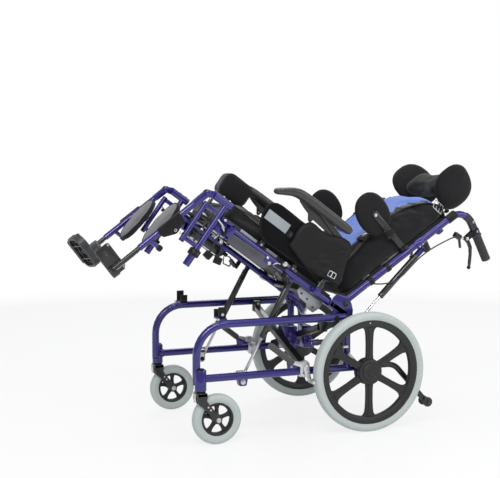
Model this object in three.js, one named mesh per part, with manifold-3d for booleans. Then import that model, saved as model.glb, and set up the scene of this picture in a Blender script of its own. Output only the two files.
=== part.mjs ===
// Tilt-in-space wheelchair on a tubular base with 16 inch rear wheels and swivel casters.
// Millimetres, +Z up. The chair faces -X, so the occupant's left is -Y. It is drawn as it is
// photographed: seat tilted back, backrest reclined, legrests at their lowest, brakes on.
// Every side piece is drawn for the right-hand side (+Y) and mirrored for the left.

import * as THREE from 'three';
import { mergeVertices } from 'three/addons/utils/BufferGeometryUtils.js';
import Module from 'manifold-3d';

const wasm = await Module();
wasm.setup();

const { cos, sin, tan, hypot, atan2, PI, min, sign } = Math;
const rad = THREE.MathUtils.degToRad;

// Driving dimensions of the whole chair

const CLEARANCE = 0.3; // between pieces that touch
const OVERRUN = 4; // how far a cut runs past its face
const WELD = 1; // how far joined shapes run into each other
const HEAD = 2; // bolt end that shows past its cheek
const MERGE = 0.001; // vertices closer than this are one
const TILT = 36; // degrees, seat tilt in the photograph
const RECLINE = 20; // degrees, backrest behind the seat's normal
const LEG_ANGLE = 17; // degrees, legrest in front of the seat's downward normal

const REAR_WHEEL_RADIUS = 203;
const REAR_TRACK = 283.6; // wheel centre plane from the chair's centre plane
const CASTER_RADIUS = 82;
const CASTER_TRACK = 251;
const WHEELBASE = 532; // rear axle to caster axle, casters trailing

const FRAME_TUBE = 26; // base frame tube diameter
const FRAME_Y = 240; // base side frame's centre plane
const UPPER_RAIL_Z = 386;
const LOWER_RAIL_Z = 213;
const FRONT_POST_X = -596;
const REAR_POST_X = -63;

const PIVOT_X = -105; // tilt pivot
const PIVOT_Z = 384;

const SEAT_TUBE = 25;
const SEAT_TUBE_Y = 207;
const SEAT_TUBE_H = 34; // seat tube above the tilt pivot, along the seat's normal
const SEAT_DEPTH = 512; // pivot to the front end of the seat tubes
const CUSHION_HALF_WIDTH = 204;

const BACK_TUBE_Y = 205;
const RECLINE_S = -9; // recline pivot from the tilt pivot, forward and up in the seat's frame
const RECLINE_H = 62;

const LEG_Y = 235; // hanger and legrest plane
const SPRING_Y = 205; // plane of the gas springs
const PIN_RADIUS = 5; // hinge pins and bolts

// Facets round a full turn. A pin's corners stay inside its bore's flats at any angle.
const FACETS = { pin: 12, tube: 8, hub: 12, ring: 16, caster: 20, wheel: 32, oval: 18 };

const TUBE_FLAT_SHARE = cos(PI / FACETS.tube); // a tube's flats, as a share of its radius

const SIDES = [{ name: 'left', flip: true, y: -1 }, { name: 'right', flip: false, y: 1 }];

// Finishes

const finish = (color, roughness, metalness) =>
  new THREE.MeshStandardMaterial({ color, roughness, metalness, flatShading: true });
const BLUE_PAINT = finish(0x2a1f9e, 0.3, 0.2);
const BLACK_PAINT = finish(0x17171a, 0.45, 0.2);
const BLACK_PLASTIC = finish(0x1b1b1e, 0.6, 0);
const GREY_TYRE = finish(0xbcc6c4, 0.85, 0);
const STEEL = finish(0xc9ccd0, 0.3, 0.9);
const BLACK_FABRIC = finish(0x1e1e21, 0.95, 0);
const BLUE_FABRIC = finish(0x4a68d8, 0.9, 0);
const BLACK_RUBBER = finish(0x202022, 0.9, 0);

// Solids: joining, cutting, mirroring

function solid(geometry) {
  const bare = geometry.clone();
  for (const name of Object.keys(bare.attributes)) {
    if (name !== 'position') bare.deleteAttribute(name);
  }
  const merged = mergeVertices(bare, MERGE);
  return new wasm.Manifold(new wasm.Mesh({
    numProp: 3,
    vertProperties: Float32Array.from(merged.attributes.position.array),
    triVerts: Uint32Array.from(merged.index.array),
  }));
}

function join(...pieces) {
  return pieces.map((piece) => (piece.isBufferGeometry ? solid(piece) : piece)).reduce((a, b) => a.add(b));
}

function cut(body, ...tools) {
  return join(body).subtract(join(...tools));
}

function toGeometry(piece, flip) {
  const mesh = join(piece).getMesh();
  const positions = Float32Array.from(mesh.vertProperties);
  const index = Array.from(mesh.triVerts);
  if (flip) {
    for (let i = 1; i < positions.length; i += 3) positions[i] = -positions[i];
    for (let i = 0; i < index.length; i += 3) [index[i], index[i + 1]] = [index[i + 1], index[i]];
  }
  const geometry = new THREE.BufferGeometry();
  geometry.setAttribute('position', new THREE.BufferAttribute(positions, 3));
  geometry.setIndex(index);
  geometry.computeVertexNormals();
  return geometry;
}

function addPiece(group, name, piece, material, flip = false) {
  const mesh = new THREE.Mesh(toGeometry(piece, flip), material);
  mesh.name = name;
  group.add(mesh);
  return mesh;
}

function addGroup(parent, name, x, y, z, angle = 0) {
  const group = new THREE.Group();
  group.name = name;
  group.position.set(x, y, z);
  group.rotation.y = rad(angle);
  parent.add(group);
  return group;
}

// Primitive shapes

const point = (x, y, z) => new THREE.Vector3(x, y, z);

function block(x0, x1, y0, y1, z0, z1) {
  const geometry = new THREE.BoxGeometry(x1 - x0, y1 - y0, z1 - z0);
  return geometry.translate((x0 + x1) / 2, (y0 + y1) / 2, (z0 + z1) / 2);
}

function rod(from, to, radius, sides = FACETS.tube) {
  const axis = to.clone().sub(from);
  const geometry = new THREE.CylinderGeometry(radius, radius, axis.length(), sides);
  geometry.applyQuaternion(new THREE.Quaternion().setFromUnitVectors(point(0, 1, 0), axis.normalize()));
  const middle = from.clone().add(to).multiplyScalar(0.5);
  return geometry.translate(middle.x, middle.y, middle.z);
}

const crossRod = (x, z, y0, y1, radius, sides = FACETS.tube) => rod(point(x, y0, z), point(x, y1, z),
  radius, sides);

// A flat plate lying in the side view (x, z), between two widths y0 and y1
function plate(outline, y0, y1) {
  const shape = new THREE.Shape(outline.map(([x, z]) => new THREE.Vector2(x, z)));
  const geometry = new THREE.ExtrudeGeometry(shape, { depth: y1 - y0, bevelEnabled: false });
  return geometry.rotateX(PI / 2).translate(0, y1, 0);
}

// Outline of a link with two round ends
function linkOutline([x0, z0], r0, [x1, z1], r1, steps = 5) {
  const heading = atan2(z1 - z0, x1 - x0);
  const lean = Math.asin((r0 - r1) / hypot(x1 - x0, z1 - z0));
  const outline = [];
  const arc = (x, z, r, start, end) => {
    for (let i = 0; i <= steps; i++) {
      const angle = start + ((end - start) * i) / steps;
      outline.push([x + r * cos(angle), z + r * sin(angle)]);
    }
  };
  arc(x1, z1, r1, heading - PI / 2 + lean, heading + PI / 2 - lean);
  arc(x0, z0, r0, heading + PI / 2 - lean, heading + 1.5 * PI + lean);
  return outline;
}

const link = (from, r0, to, r1, y0, y1) => plate(linkOutline(from, r0, to, r1), y0, y1);

// A path of straight runs with round corners, and the tube or bar that follows it
class BentPath extends THREE.Curve {
  constructor(stations) {
    super();
    this.stations = stations;
  }

  getPoint(t) {
    const last = this.stations.length - 1;
    const i = min(Math.floor(t * last + 1e-6), last - 1);
    return this.stations[i].clone().lerp(this.stations[i + 1], t * last - i);
  }

  getPointAt(u) {
    return this.getPoint(u);
  }

  getTangentAt(u) {
    const last = this.stations.length - 1;
    const i = Math.round(u * last);
    const before = this.stations[Math.max(i - 1, 0)];
    const here = this.stations[i];
    const after = this.stations[min(i + 1, last)];
    const ahead = after.clone().sub(here).normalize();
    const behind = here.clone().sub(before).normalize();
    return ahead.add(behind).normalize();
  }
}

function roundCorners(points, radius, steps) {
  const stations = [points[0]];
  for (let i = 1; i < points.length - 1; i++) {
    const back = points[i - 1].clone().sub(points[i]).normalize();
    const ahead = points[i + 1].clone().sub(points[i]).normalize();
    const half = back.angleTo(ahead) / 2;
    const reach = radius / tan(half);
    const middle = back.clone().add(ahead).normalize();
    const centre = points[i].clone().addScaledVector(middle, radius / sin(half));
    const start = points[i].clone().addScaledVector(back, reach).sub(centre);
    const end = points[i].clone().addScaledVector(ahead, reach).sub(centre);
    const turn = start.angleTo(end);
    for (let k = 0; k <= steps; k++) {
      const a = sin(turn * (1 - k / steps)) / sin(turn);
      const b = sin((turn * k) / steps) / sin(turn);
      stations.push(centre.clone().addScaledVector(start, a).addScaledVector(end, b));
    }
  }
  stations.push(points[points.length - 1]);
  return stations;
}

function bentTube(points, bend, radius, steps = 5, sides = FACETS.tube) {
  const path = new BentPath(roundCorners(points, bend, steps));
  const ring = [];
  for (let i = 0; i < sides; i++) {
    const angle = (2 * PI * (i + 0.5)) / sides;
    ring.push(new THREE.Vector2(radius * cos(angle), radius * sin(angle)));
  }
  return new THREE.ExtrudeGeometry(new THREE.Shape(ring), {
    steps: path.stations.length - 1,
    extrudePath: path,
    bevelEnabled: false,
  });
}

// A ring turned about the Y axis from its section in (radius, y). Its flats, and not its corners,
// lie on the given radii, so that a wheel stands on a flat.
function turned(section, sides) {
  const toFlat = 1 / cos(PI / sides);
  const profile = section.map(([r, y]) => new THREE.Vector2(r * toFlat, y));
  return new THREE.LatheGeometry(profile, sides).rotateY(PI / sides);
}

const closed = (section) => [...section, section[0]];

// Rings of points skinned into a closed body
function loft(rings) {
  const count = rings[0].length;
  const positions = [];
  const index = [];
  const push = (p) => positions.push(p.x, p.y, p.z);
  rings.forEach((ring) => ring.forEach(push));
  const lid = (ring, first, reverse) => {
    const centre = ring.reduce((sum, p) => sum.add(p), point(0, 0, 0)).divideScalar(count);
    const hub = positions.length / 3;
    push(centre);
    for (let i = 0; i < count; i++) {
      const a = first + i;
      const b = first + ((i + 1) % count);
      index.push(...(reverse ? [hub, b, a] : [hub, a, b]));
    }
  };
  for (let k = 0; k + 1 < rings.length; k++) {
    for (let i = 0; i < count; i++) {
      const j = (i + 1) % count;
      const [a, b, c, d] = [k * count + i, k * count + j, (k + 1) * count + j, (k + 1) * count + i];
      index.push(a, b, c, a, c, d);
    }
  }
  lid(rings[0], 0, true);
  lid(rings[rings.length - 1], (rings.length - 1) * count, false);
  let volume = 0;
  const at = (i) => point(positions[3 * i], positions[3 * i + 1], positions[3 * i + 2]);
  for (let i = 0; i < index.length; i += 3) {
    volume += at(index[i]).dot(at(index[i + 1]).cross(at(index[i + 2])));
  }
  if (volume < 0) {
    for (let i = 0; i < index.length; i += 3) [index[i], index[i + 1]] = [index[i + 1], index[i]];
  }
  const geometry = new THREE.BufferGeometry();
  geometry.setAttribute('position', new THREE.Float32BufferAttribute(positions, 3));
  geometry.setIndex(index);
  return geometry;
}

// Rectangle with round corners whose long sides draw in by bow between the corners
function padOutline(u0, u1, v0, v1, corner, bow = 0, perCorner = 4, perSide = 4) {
  const outline = [];
  const middle = [(u0 + u1) / 2, (v0 + v1) / 2];
  const corners = [[u1 - corner, v1 - corner], [u0 + corner, v1 - corner],
    [u0 + corner, v0 + corner], [u1 - corner, v0 + corner]];
  corners.forEach(([u, v], quarter) => {
    for (let i = 0; i <= perCorner; i++) {
      const angle = (PI / 2) * (quarter + i / perCorner);
      outline.push([u + corner * cos(angle), v + corner * sin(angle)]);
    }
    const [nu, nv] = corners[(quarter + 1) % 4];
    const turn = (PI / 2) * (quarter + 1);
    const from = [u + corner * cos(turn), v + corner * sin(turn)];
    const to = [nu + corner * cos(turn), nv + corner * sin(turn)];
    for (let i = 1; i < perSide; i++) {
      const share = i / perSide;
      const drawn = bow * sin(PI * share);
      outline.push([
        from[0] + (to[0] - from[0]) * share - drawn * cos(turn),
        from[1] + (to[1] - from[1]) * share - drawn * sin(turn),
      ]);
    }
  });
  return { outline, middle };
}

function ovalOutline(u, v, halfU, halfV, count = FACETS.oval) {
  const outline = [];
  for (let i = 0; i < count; i++) {
    const angle = (2 * PI * i) / count;
    outline.push([u + halfU * cos(angle), v + halfV * sin(angle)]);
  }
  return { outline, middle: [u, v] };
}

// How a pad's outline shrinks (first share) and rises (second share) from its back to its front.
// The front's rise past 1 is the crown.
const PAD_SHARES = [[0.72, 0], [0.93, 0.02], [0.99, 0.16], [0.975, 0.5], [0.99, 0.8], [0.93, 0.96],
  [0.78, 1.05], [0.5, 1.12], [0.2, 1.15]];
const THIN_PAD_SHARES = [[0.8, 0], [1, 0.2], [1, 0.75], [0.9, 0.98], [0.5, 1.1]];

// A stuffed pad: an outline in (u, v), a thickness along w, and the frame that it lies in
function pad({ outline, middle }, w0, w1, place, shares = PAD_SHARES) {
  const full = shares[shares.length - 1][1];
  return loft(shares.map(([shrink, rise]) => outline.map(([u, v]) => {
    const su = middle[0] + (u - middle[0]) * shrink;
    const sv = middle[1] + (v - middle[1]) * shrink;
    return place(su, sv, w0 + ((w1 - w0) * rise) / full);
  })));
}

const flatPad = (u, v, w) => point(u, v, w); // faces up
const frontPad = (t, y, f) => point(-f, y, t); // faces forward
const sidePad = (u, z, y) => point(u, y, z); // faces sideways

const chair = new THREE.Group();

// Base side frames: one bent upper rail with its front post, a lower rail, a rear post, the caster
// housing, the saddle that catches the seat, the tilt pivot and the tilt spring's clevis.

const FRAME = {
  bend: 100,
  postFoot: 198, // lower end of the front post
  railRearEnd: -72,
  lowerRearEnd: 44,
  housingX: -586,
  housingRadius: 19,
  housingBottom: 176,
  housingTop: 244,
  stemRadius: 8,
  stemDepth: 58,
  weldRadius: 12.8,
};
const TUBE_R = FRAME_TUBE / 2;
const TUBE_INNER_Y = FRAME_Y - TUBE_R;
const TUBE_OUTER_Y = FRAME_Y + TUBE_R;

const PIVOT = {
  lugInner: 214.4,
  lugOuter: 222.4,
  lugRadius: 16,
  bossRadius: 13,
  headRadius: 9,
  headInner: 208.5,
};

const SADDLE = { x: -505, halfLength: 13, base: 5, prong: 5, prongTop: 440, innerTop: 429, inner: 189,
  outer: 228 };

const GUSSET = { rearX: -205, frontX: -280, top: 250, thickness: 5 };

const TILT_SPRING = {
  footX: -433,
  footZ: 190,
  topS: 197,
  topH: 6,
  rodRadius: 4,
  cylinderRadius: 11,
  cylinderStart: 155, // from the foot pin, as photographed
  rodReach: 205, // the rod ends inside the cylinder
  closedEnd: 18, // solid end of the cylinder, up to its fork
  eyeRadius: 9,
  eyeHalf: 4,
  lugRadius: 7,
  cheek: 4,
};

const CLEVIS = {
  halfLength: 19,
  drop: 14, // plate's lower edge under the foot pin
  topDrop: 4, // its upper edge under the rail's centre
  cheekInner: 4.4, // from the spring's plane to the cheek
  cheekOuter: 9,
};

const LOCK = {
  x: -226,
  z: 236,
  plateRadius: 17,
  plate: 4, // bracket plate thickness
  lever: 4,
  shoeX: -210,
  shoeZ: 184,
  shoeRadius: 6,
  shoeEnd: 300,
  gripStart: [-272, 249],
  gripEnd: [-355, 313],
  gripRadius: 11,
  shankRadius: 6,
  plateOut: 6, // the lock's plate outside the side frame's tube
};
const LOCK_PLATE_Y = TUBE_OUTER_Y + LOCK.plateOut;

function sideFrame() {
  const upper = bentTube([
    point(FRAME.railRearEnd, FRAME_Y, UPPER_RAIL_Z),
    point(FRONT_POST_X, FRAME_Y, UPPER_RAIL_Z),
    point(FRONT_POST_X, FRAME_Y, FRAME.postFoot),
  ], FRAME.bend, TUBE_R, 6);
  const lower = rod(point(FRAME.housingX, FRAME_Y, LOWER_RAIL_Z),
    point(FRAME.lowerRearEnd, FRAME_Y, LOWER_RAIL_Z), TUBE_R - CLEARANCE);
  const rearPost = rod(point(REAR_POST_X, FRAME_Y, LOWER_RAIL_Z), point(REAR_POST_X, FRAME_Y, UPPER_RAIL_Z),
    FRAME.weldRadius);
  const postHead = rod(point(REAR_POST_X, FRAME_Y, UPPER_RAIL_Z - TUBE_R),
    point(REAR_POST_X, FRAME_Y, UPPER_RAIL_Z + FRAME.weldRadius / 2), TUBE_R + CLEARANCE);
  const housing = rod(point(FRAME.housingX, CASTER_TRACK, FRAME.housingBottom),
    point(FRAME.housingX, CASTER_TRACK, FRAME.housingTop), FRAME.housingRadius, FACETS.hub);
  const stemBore = rod(point(FRAME.housingX, CASTER_TRACK, FRAME.housingBottom - OVERRUN),
    point(FRAME.housingX, CASTER_TRACK, FRAME.housingBottom + FRAME.stemDepth + CLEARANCE),
    FRAME.stemRadius + CLEARANCE, FACETS.pin);
  const gusset = plate([
    [GUSSET.rearX, LOWER_RAIL_Z],
    [GUSSET.frontX, LOWER_RAIL_Z],
    [GUSSET.frontX, GUSSET.top],
  ], FRAME_Y, FRAME_Y + GUSSET.thickness);

  const saddleTop = UPPER_RAIL_Z + TUBE_R;
  const [front, rear] = [SADDLE.x - SADDLE.halfLength, SADDLE.x + SADDLE.halfLength];
  const saddle = join(
    block(front, rear, SADDLE.inner - SADDLE.prong, SADDLE.outer + SADDLE.prong, saddleTop - WELD,
      saddleTop + SADDLE.base),
    block(front, rear, FRAME_Y - TUBE_R, FRAME_Y + SADDLE.prong, UPPER_RAIL_Z, saddleTop + SADDLE.base),
    block(front, rear, SADDLE.inner - SADDLE.prong, SADDLE.inner, saddleTop, SADDLE.innerTop),
    block(front, rear, SADDLE.outer, SADDLE.outer + SADDLE.prong, saddleTop, SADDLE.prongTop),
  );

  const boss = crossRod(PIVOT_X, PIVOT_Z, PIVOT.lugOuter + CLEARANCE, FRAME_Y, PIVOT.bossRadius, FACETS.pin);
  const pin = crossRod(PIVOT_X, PIVOT_Z, PIVOT.headInner, FRAME_Y, PIN_RADIUS, FACETS.pin);
  const head = crossRod(PIVOT_X, PIVOT_Z, PIVOT.headInner, PIVOT.lugInner - CLEARANCE, PIVOT.headRadius,
    FACETS.pin);

  const clevisTop = LOWER_RAIL_Z - CLEVIS.topDrop;
  const [cx0, cx1] = [TILT_SPRING.footX - CLEVIS.halfLength, TILT_SPRING.footX + CLEVIS.halfLength];
  const clevis = join(
    plate([
      [cx0, clevisTop],
      [cx0 + CLEVIS.halfLength / 2, TILT_SPRING.footZ - CLEVIS.drop],
      [cx1 - CLEVIS.halfLength / 2, TILT_SPRING.footZ - CLEVIS.drop],
      [cx1, clevisTop],
    ], SPRING_Y + CLEVIS.cheekInner, TUBE_INNER_Y + CLEVIS.cheekInner),
    crossRod(TILT_SPRING.footX, TILT_SPRING.footZ, SPRING_Y - CLEVIS.cheekOuter, SPRING_Y + CLEVIS.cheekOuter,
      PIN_RADIUS, FACETS.pin),
    crossRod(TILT_SPRING.footX, TILT_SPRING.footZ, SPRING_Y - CLEVIS.cheekOuter, SPRING_Y - CLEVIS.cheekInner,
      TILT_SPRING.eyeRadius, FACETS.pin),
  );

  const lockBracket = join(
    link([LOCK.x, LOCK.z], LOCK.plateRadius, [LOCK.x, LOWER_RAIL_Z], LOCK.plateRadius,
      TUBE_OUTER_Y - LOCK.plate, LOCK_PLATE_Y + LOCK.plate),
    crossRod(LOCK.x, LOCK.z, LOCK_PLATE_Y, LOCK_PLATE_Y + LOCK.plate + 3 * LOCK.lever, PIN_RADIUS,
      FACETS.pin),
  );

  return cut(join(upper, lower, rearPost, postHead, housing, gusset, saddle, boss, pin, head, clevis,
    lockBracket),
    stemBore);
}

// Cross brace: two rectangular tubes that cross at a blue hub between the side frames

const BRACE = {
  frontX: -215,
  rearX: -140,
  half: 12, // half the tube's width along X
  depth: 11, // half the tube's depth
  frontHigh: 366,
  rearHigh: 352,
  low: 230,
  footHalf: 15,
  endY: 206,
  hubHalf: 30,
  hubBottom: 246,
  hubTop: 330,
  hubRearX: -98,
};

function braceArm(x, highSide, high) {
  const faceY = TUBE_INNER_Y - CLEARANCE;
  const from = point(x, highSide * BRACE.endY, high);
  const to = point(x, -highSide * BRACE.endY, BRACE.low);
  const length = from.distanceTo(to) + 2 * BRACE.depth;
  const arm = new THREE.BoxGeometry(2 * BRACE.half, length, 2 * BRACE.depth);
  arm.rotateX(atan2((high - BRACE.low) * highSide, 2 * BRACE.endY));
  arm.translate(x, 0, (high + BRACE.low) / 2);
  const ends = [[highSide, UPPER_RAIL_Z, high], [-highSide, LOWER_RAIL_Z, BRACE.low]];
  const feet = ends.map(([side, railZ, z]) => {
    const [inner, outer] = [side * (BRACE.endY - BRACE.depth), side * faceY].sort((a, b) => a - b);
    return block(x - BRACE.half, x + BRACE.half, inner, outer, min(z, railZ) - BRACE.footHalf,
      Math.max(z, railZ) + BRACE.footHalf / 2);
  });
  const limit = block(x - 2 * BRACE.half, x + 2 * BRACE.half, -faceY, faceY, 0, UPPER_RAIL_Z + TUBE_R);
  return join(arm, ...feet).intersect(join(limit));
}

function braceHub() {
  const around = new THREE.BoxGeometry(2 * (BRACE.half + CLEARANCE), 4 * BRACE.endY,
    2 * (BRACE.depth + CLEARANCE));
  around.rotateX(-atan2(BRACE.rearHigh - BRACE.low, 2 * BRACE.endY));
  around.translate(BRACE.rearX, 0, (BRACE.rearHigh + BRACE.low) / 2);
  const hub = block(BRACE.frontX + BRACE.half + CLEARANCE, BRACE.hubRearX, -BRACE.hubHalf, BRACE.hubHalf,
    BRACE.hubBottom, BRACE.hubTop);
  return cut(hub, around);
}

// Rear wheels: moulded six-spoke rim with a grey tyre, on the stub axle of a drum brake

const REAR = {
  tyreHalf: 20,
  rimOuter: 175.5,
  rimInner: 152,
  rimHalf: 15,
  hubRadius: 44,
  hubInner: 273.5, // inner face of the hub disc
  hubCapRadius: 31,
  hubCapEnd: 305,
  spokes: 6,
  spokeHalf: 10,
  spokeHalfAtRim: 17,
  spokeDepthHalf: 7,
  drumRadius: 46,
  drumInner: 255,
  drumOuter: 272,
  axleRadius: 6,
  axleEnd: 296,
};
const REAR_AXLE_Z = REAR_WHEEL_RADIUS;

// Outline of a spoke that flares from the hub to the rim, in the wheel's plane
function spoke(angle, inner, outer, halfInner, halfOuter, y0, y1) {
  const along = [cos(angle), sin(angle)];
  const across = [-sin(angle), cos(angle)];
  const at = (r, w) => [r * along[0] + w * across[0], r * along[1] + w * across[1]];
  return plate([at(inner, -halfInner), at(outer, -halfOuter), at(outer, halfOuter), at(inner, halfInner)],
    y0, y1);
}

function rearRim() {
  const ring = turned(closed([
    [REAR.rimInner, REAR_TRACK - REAR.rimHalf],
    [REAR.rimOuter, REAR_TRACK - REAR.rimHalf],
    [REAR.rimOuter, REAR_TRACK + REAR.rimHalf],
    [REAR.rimInner, REAR_TRACK + REAR.rimHalf],
  ]), FACETS.wheel);
  const disc = crossRod(0, 0, REAR.hubInner, REAR_TRACK + REAR.rimHalf, REAR.hubRadius, FACETS.ring);
  const cap = crossRod(0, 0, REAR.hubInner, REAR.hubCapEnd, REAR.hubCapRadius, FACETS.ring);
  const spokes = [];
  for (let i = 0; i < REAR.spokes; i++) {
    spokes.push(spoke(PI / 2 + (2 * PI * i) / REAR.spokes, REAR.hubCapRadius, REAR.rimInner + OVERRUN,
      REAR.spokeHalf, REAR.spokeHalfAtRim, REAR_TRACK - REAR.spokeDepthHalf,
        REAR_TRACK + REAR.spokeDepthHalf));
  }
  const bore = crossRod(0, 0, REAR.hubInner - OVERRUN, REAR.axleEnd + CLEARANCE, REAR.axleRadius + CLEARANCE,
    FACETS.pin);
  return cut(join(ring, disc, cap, ...spokes), bore);
}

function tyre(radius, half, seat, track, sides) {
  const shoulder = seat + (radius - seat) * 0.6;
  return turned(closed([
    [seat, track - half * 0.7],
    [shoulder, track - half],
    [radius, track - half * 0.5],
    [radius, track + half * 0.5],
    [shoulder, track + half],
    [seat, track + half * 0.7],
  ]), sides);
}

// The drum and its stub axle are bolted to a plate on the frame
function drumBrake() {
  return join(
    crossRod(0, REAR_AXLE_Z, REAR.drumInner, REAR.drumOuter, REAR.drumRadius, FACETS.hub),
    crossRod(0, REAR_AXLE_Z, TUBE_OUTER_Y + CLEARANCE, REAR.drumOuter, REAR.drumRadius / 2, FACETS.hub),
    crossRod(0, REAR_AXLE_Z, REAR.drumOuter, REAR.axleEnd, REAR.axleRadius, FACETS.pin),
  );
}

// Casters: a fork with its stem in the frame's housing, and a five-spoke wheel

const CASTER = {
  tyreHalf: 17,
  rimOuter: 54,
  rimInner: 46,
  rimHalf: 12,
  hubRadius: 15,
  spokes: 5,
  spokeHalf: 4.5,
  spokeDepthHalf: 6,
  legInner: 18.2, // from the wheel's centre plane
  leg: 5.5,
  crownHalf: 17,
  crownTop: 172,
  crownBottom: 159,
  legEndRadius: 13,
  hubHalf: 17.6,
};
const CASTER_TRAIL = -WHEELBASE - FRAME.housingX;

function casterFork() {
  const collar = rod(point(0, 0, CASTER.crownBottom), point(0, 0, FRAME.housingBottom - CLEARANCE),
    CASTER.crownHalf, FACETS.hub);
  const stem = rod(point(0, 0, CASTER.crownBottom), point(0, 0, FRAME.housingBottom + FRAME.stemDepth),
    FRAME.stemRadius, FACETS.pin);
  const outer = CASTER.legInner + CASTER.leg;
  const crown = block(-CASTER.crownHalf, CASTER.crownHalf, -outer, outer, CASTER.crownBottom,
    CASTER.crownTop);
  const knee = [CASTER.crownHalf * -0.35, CASTER.crownBottom - CASTER.crownHalf];
  const leg = (y0, y1) => join(
    link([0, CASTER.crownBottom], CASTER.crownHalf - WELD, knee, CASTER.crownHalf * 0.8, y0, y1),
    link(knee, CASTER.crownHalf * 0.8, [CASTER_TRAIL, CASTER_RADIUS], CASTER.legEndRadius, y0, y1),
  ).intersect(join(block(-WHEELBASE, WHEELBASE, -outer, outer, 0, CASTER.crownTop)));
  const axle = crossRod(CASTER_TRAIL, CASTER_RADIUS, -outer - HEAD, outer + HEAD, PIN_RADIUS, FACETS.pin);
  return join(collar, stem, crown, leg(CASTER.legInner, outer), leg(-outer, -CASTER.legInner), axle);
}

function casterRim() {
  const ring = turned(closed([
    [CASTER.rimInner, -CASTER.rimHalf],
    [CASTER.rimOuter - CLEARANCE, -CASTER.rimHalf],
    [CASTER.rimOuter - CLEARANCE, CASTER.rimHalf],
    [CASTER.rimInner, CASTER.rimHalf],
  ]), FACETS.ring);
  const hub = crossRod(0, 0, -CASTER.hubHalf, CASTER.hubHalf, CASTER.hubRadius, FACETS.hub);
  const spokes = [];
  for (let i = 0; i < CASTER.spokes; i++) {
    spokes.push(spoke((2 * PI * i) / CASTER.spokes, PIN_RADIUS * 2, CASTER.rimInner + OVERRUN / 2,
      CASTER.spokeHalf, CASTER.spokeHalf * 1.6, -CASTER.spokeDepthHalf, CASTER.spokeDepthHalf));
  }
  const bore = crossRod(0, 0, -CASTER.hubHalf - OVERRUN, CASTER.hubHalf + OVERRUN, PIN_RADIUS + CLEARANCE,
    FACETS.pin);
  return cut(join(ring, hub, ...spokes), bore);
}

// Anti-tippers: bent tubes plugged into the lower rails' rear ends, each with two small rollers

const ANTITIP = {
  kneeX: 118,
  rollerX: 244,
  rollerZ: 73,
  bend: 40,
  tubeRadius: 10,
  plugRadius: 12.7,
  rollerRadius: 17,
  rollerInner: 11,
  rollerWidth: 10,
};

function antiTipper() {
  const z0 = LOWER_RAIL_Z;
  const arm = bentTube([
    point(FRAME.lowerRearEnd + CLEARANCE, 0, 0),
    point(ANTITIP.kneeX, 0, 0),
    point(ANTITIP.rollerX, 0, ANTITIP.rollerZ - z0),
  ], ANTITIP.bend, ANTITIP.tubeRadius, 4);
  const collar = rod(point(FRAME.lowerRearEnd + CLEARANCE, 0, 0),
    point(FRAME.lowerRearEnd + ANTITIP.tubeRadius, 0, 0), ANTITIP.plugRadius);
  const rollers = [1, -1].map((side) => crossRod(ANTITIP.rollerX, ANTITIP.rollerZ - z0,
    side * ANTITIP.rollerInner, side * (ANTITIP.rollerInner + ANTITIP.rollerWidth), ANTITIP.rollerRadius,
      FACETS.hub));
  const axle = crossRod(ANTITIP.rollerX, ANTITIP.rollerZ - z0, -ANTITIP.rollerInner - ANTITIP.rollerWidth,
    ANTITIP.rollerInner + ANTITIP.rollerWidth, PIN_RADIUS);
  return join(arm, collar, ...rollers, axle);
}

// Wheel locks: an over-centre lever that presses a steel shoe on the tyre

function lockLever() {
  const y0 = LOCK_PLATE_Y + LOCK.plate + CLEARANCE;
  const y1 = y0 + LOCK.lever;
  const local = (x, z) => [x - LOCK.x, z - LOCK.z];
  const [gx0, gz0] = local(...LOCK.gripStart);
  const [gx1, gz1] = local(...LOCK.gripEnd);
  const [sx, sz] = local(LOCK.shoeX, LOCK.shoeZ);
  const middle = (y0 + y1) / 2;
  const body = join(
    link([0, 0], 2 * PIN_RADIUS, [gx0, gz0], LOCK.shankRadius, y0, y1),
    link([0, 0], 2 * PIN_RADIUS, [sx, sz], LOCK.shoeRadius, y0, y1),
    crossRod(sx, sz, y0, LOCK.shoeEnd, LOCK.shoeRadius, FACETS.pin),
    rod(point(gx0 - LOCK.shankRadius, middle, gz0), point(gx1, middle, gz1), LOCK.gripRadius, 10),
  );
  return cut(body, crossRod(0, 0, y0 - OVERRUN, y1 + OVERRUN + LOCK.lever, PIN_RADIUS + CLEARANCE,
    FACETS.pin));
}

// Gas springs, drawn along local Z from the foot pin: a rod with an eye, and a cylinder that slides
// on it and ends in an open fork. The fork's pin is left out, so that it can follow a straight law.

function springRod(spring) {
  const rodBody = rod(point(0, 0, spring.eyeRadius / 2), point(0, 0, spring.rodReach), spring.rodRadius,
    FACETS.pin);
  const eye = crossRod(0, 0, -spring.eyeHalf, spring.eyeHalf, spring.eyeRadius, FACETS.pin);
  const bore = crossRod(0, 0, -spring.eyeHalf - OVERRUN, spring.eyeHalf + OVERRUN, PIN_RADIUS + CLEARANCE,
    FACETS.pin);
  return cut(join(rodBody, eye), bore);
}

function springCylinder(spring, length) {
  const bore = spring.rodRadius + CLEARANCE;
  const forkFoot = length - spring.closedEnd;
  const shell = new THREE.LatheGeometry([
    [bore, spring.cylinderStart],
    [spring.cylinderRadius, spring.cylinderStart],
    [spring.cylinderRadius, forkFoot],
    [0, forkFoot],
    [0, forkFoot - spring.closedEnd / 2],
    [bore, forkFoot - spring.closedEnd / 2],
    [bore, spring.cylinderStart],
  ].map(([r, z]) => new THREE.Vector2(r, z)), FACETS.hub).rotateX(PI / 2).rotateZ(PI);
  const inner = spring.eyeHalf + CLEARANCE;
  const half = spring.eyeRadius - WELD;
  const cheeks = [1, -1].map((side) => {
    const [y0, y1] = [side * inner, side * (inner + spring.cheek)].sort((a, b) => a - b);
    return link([0, forkFoot - OVERRUN / 2], half, [0, length], half, y0, y1);
  });
  return join(shell, ...cheeks);
}

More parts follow.
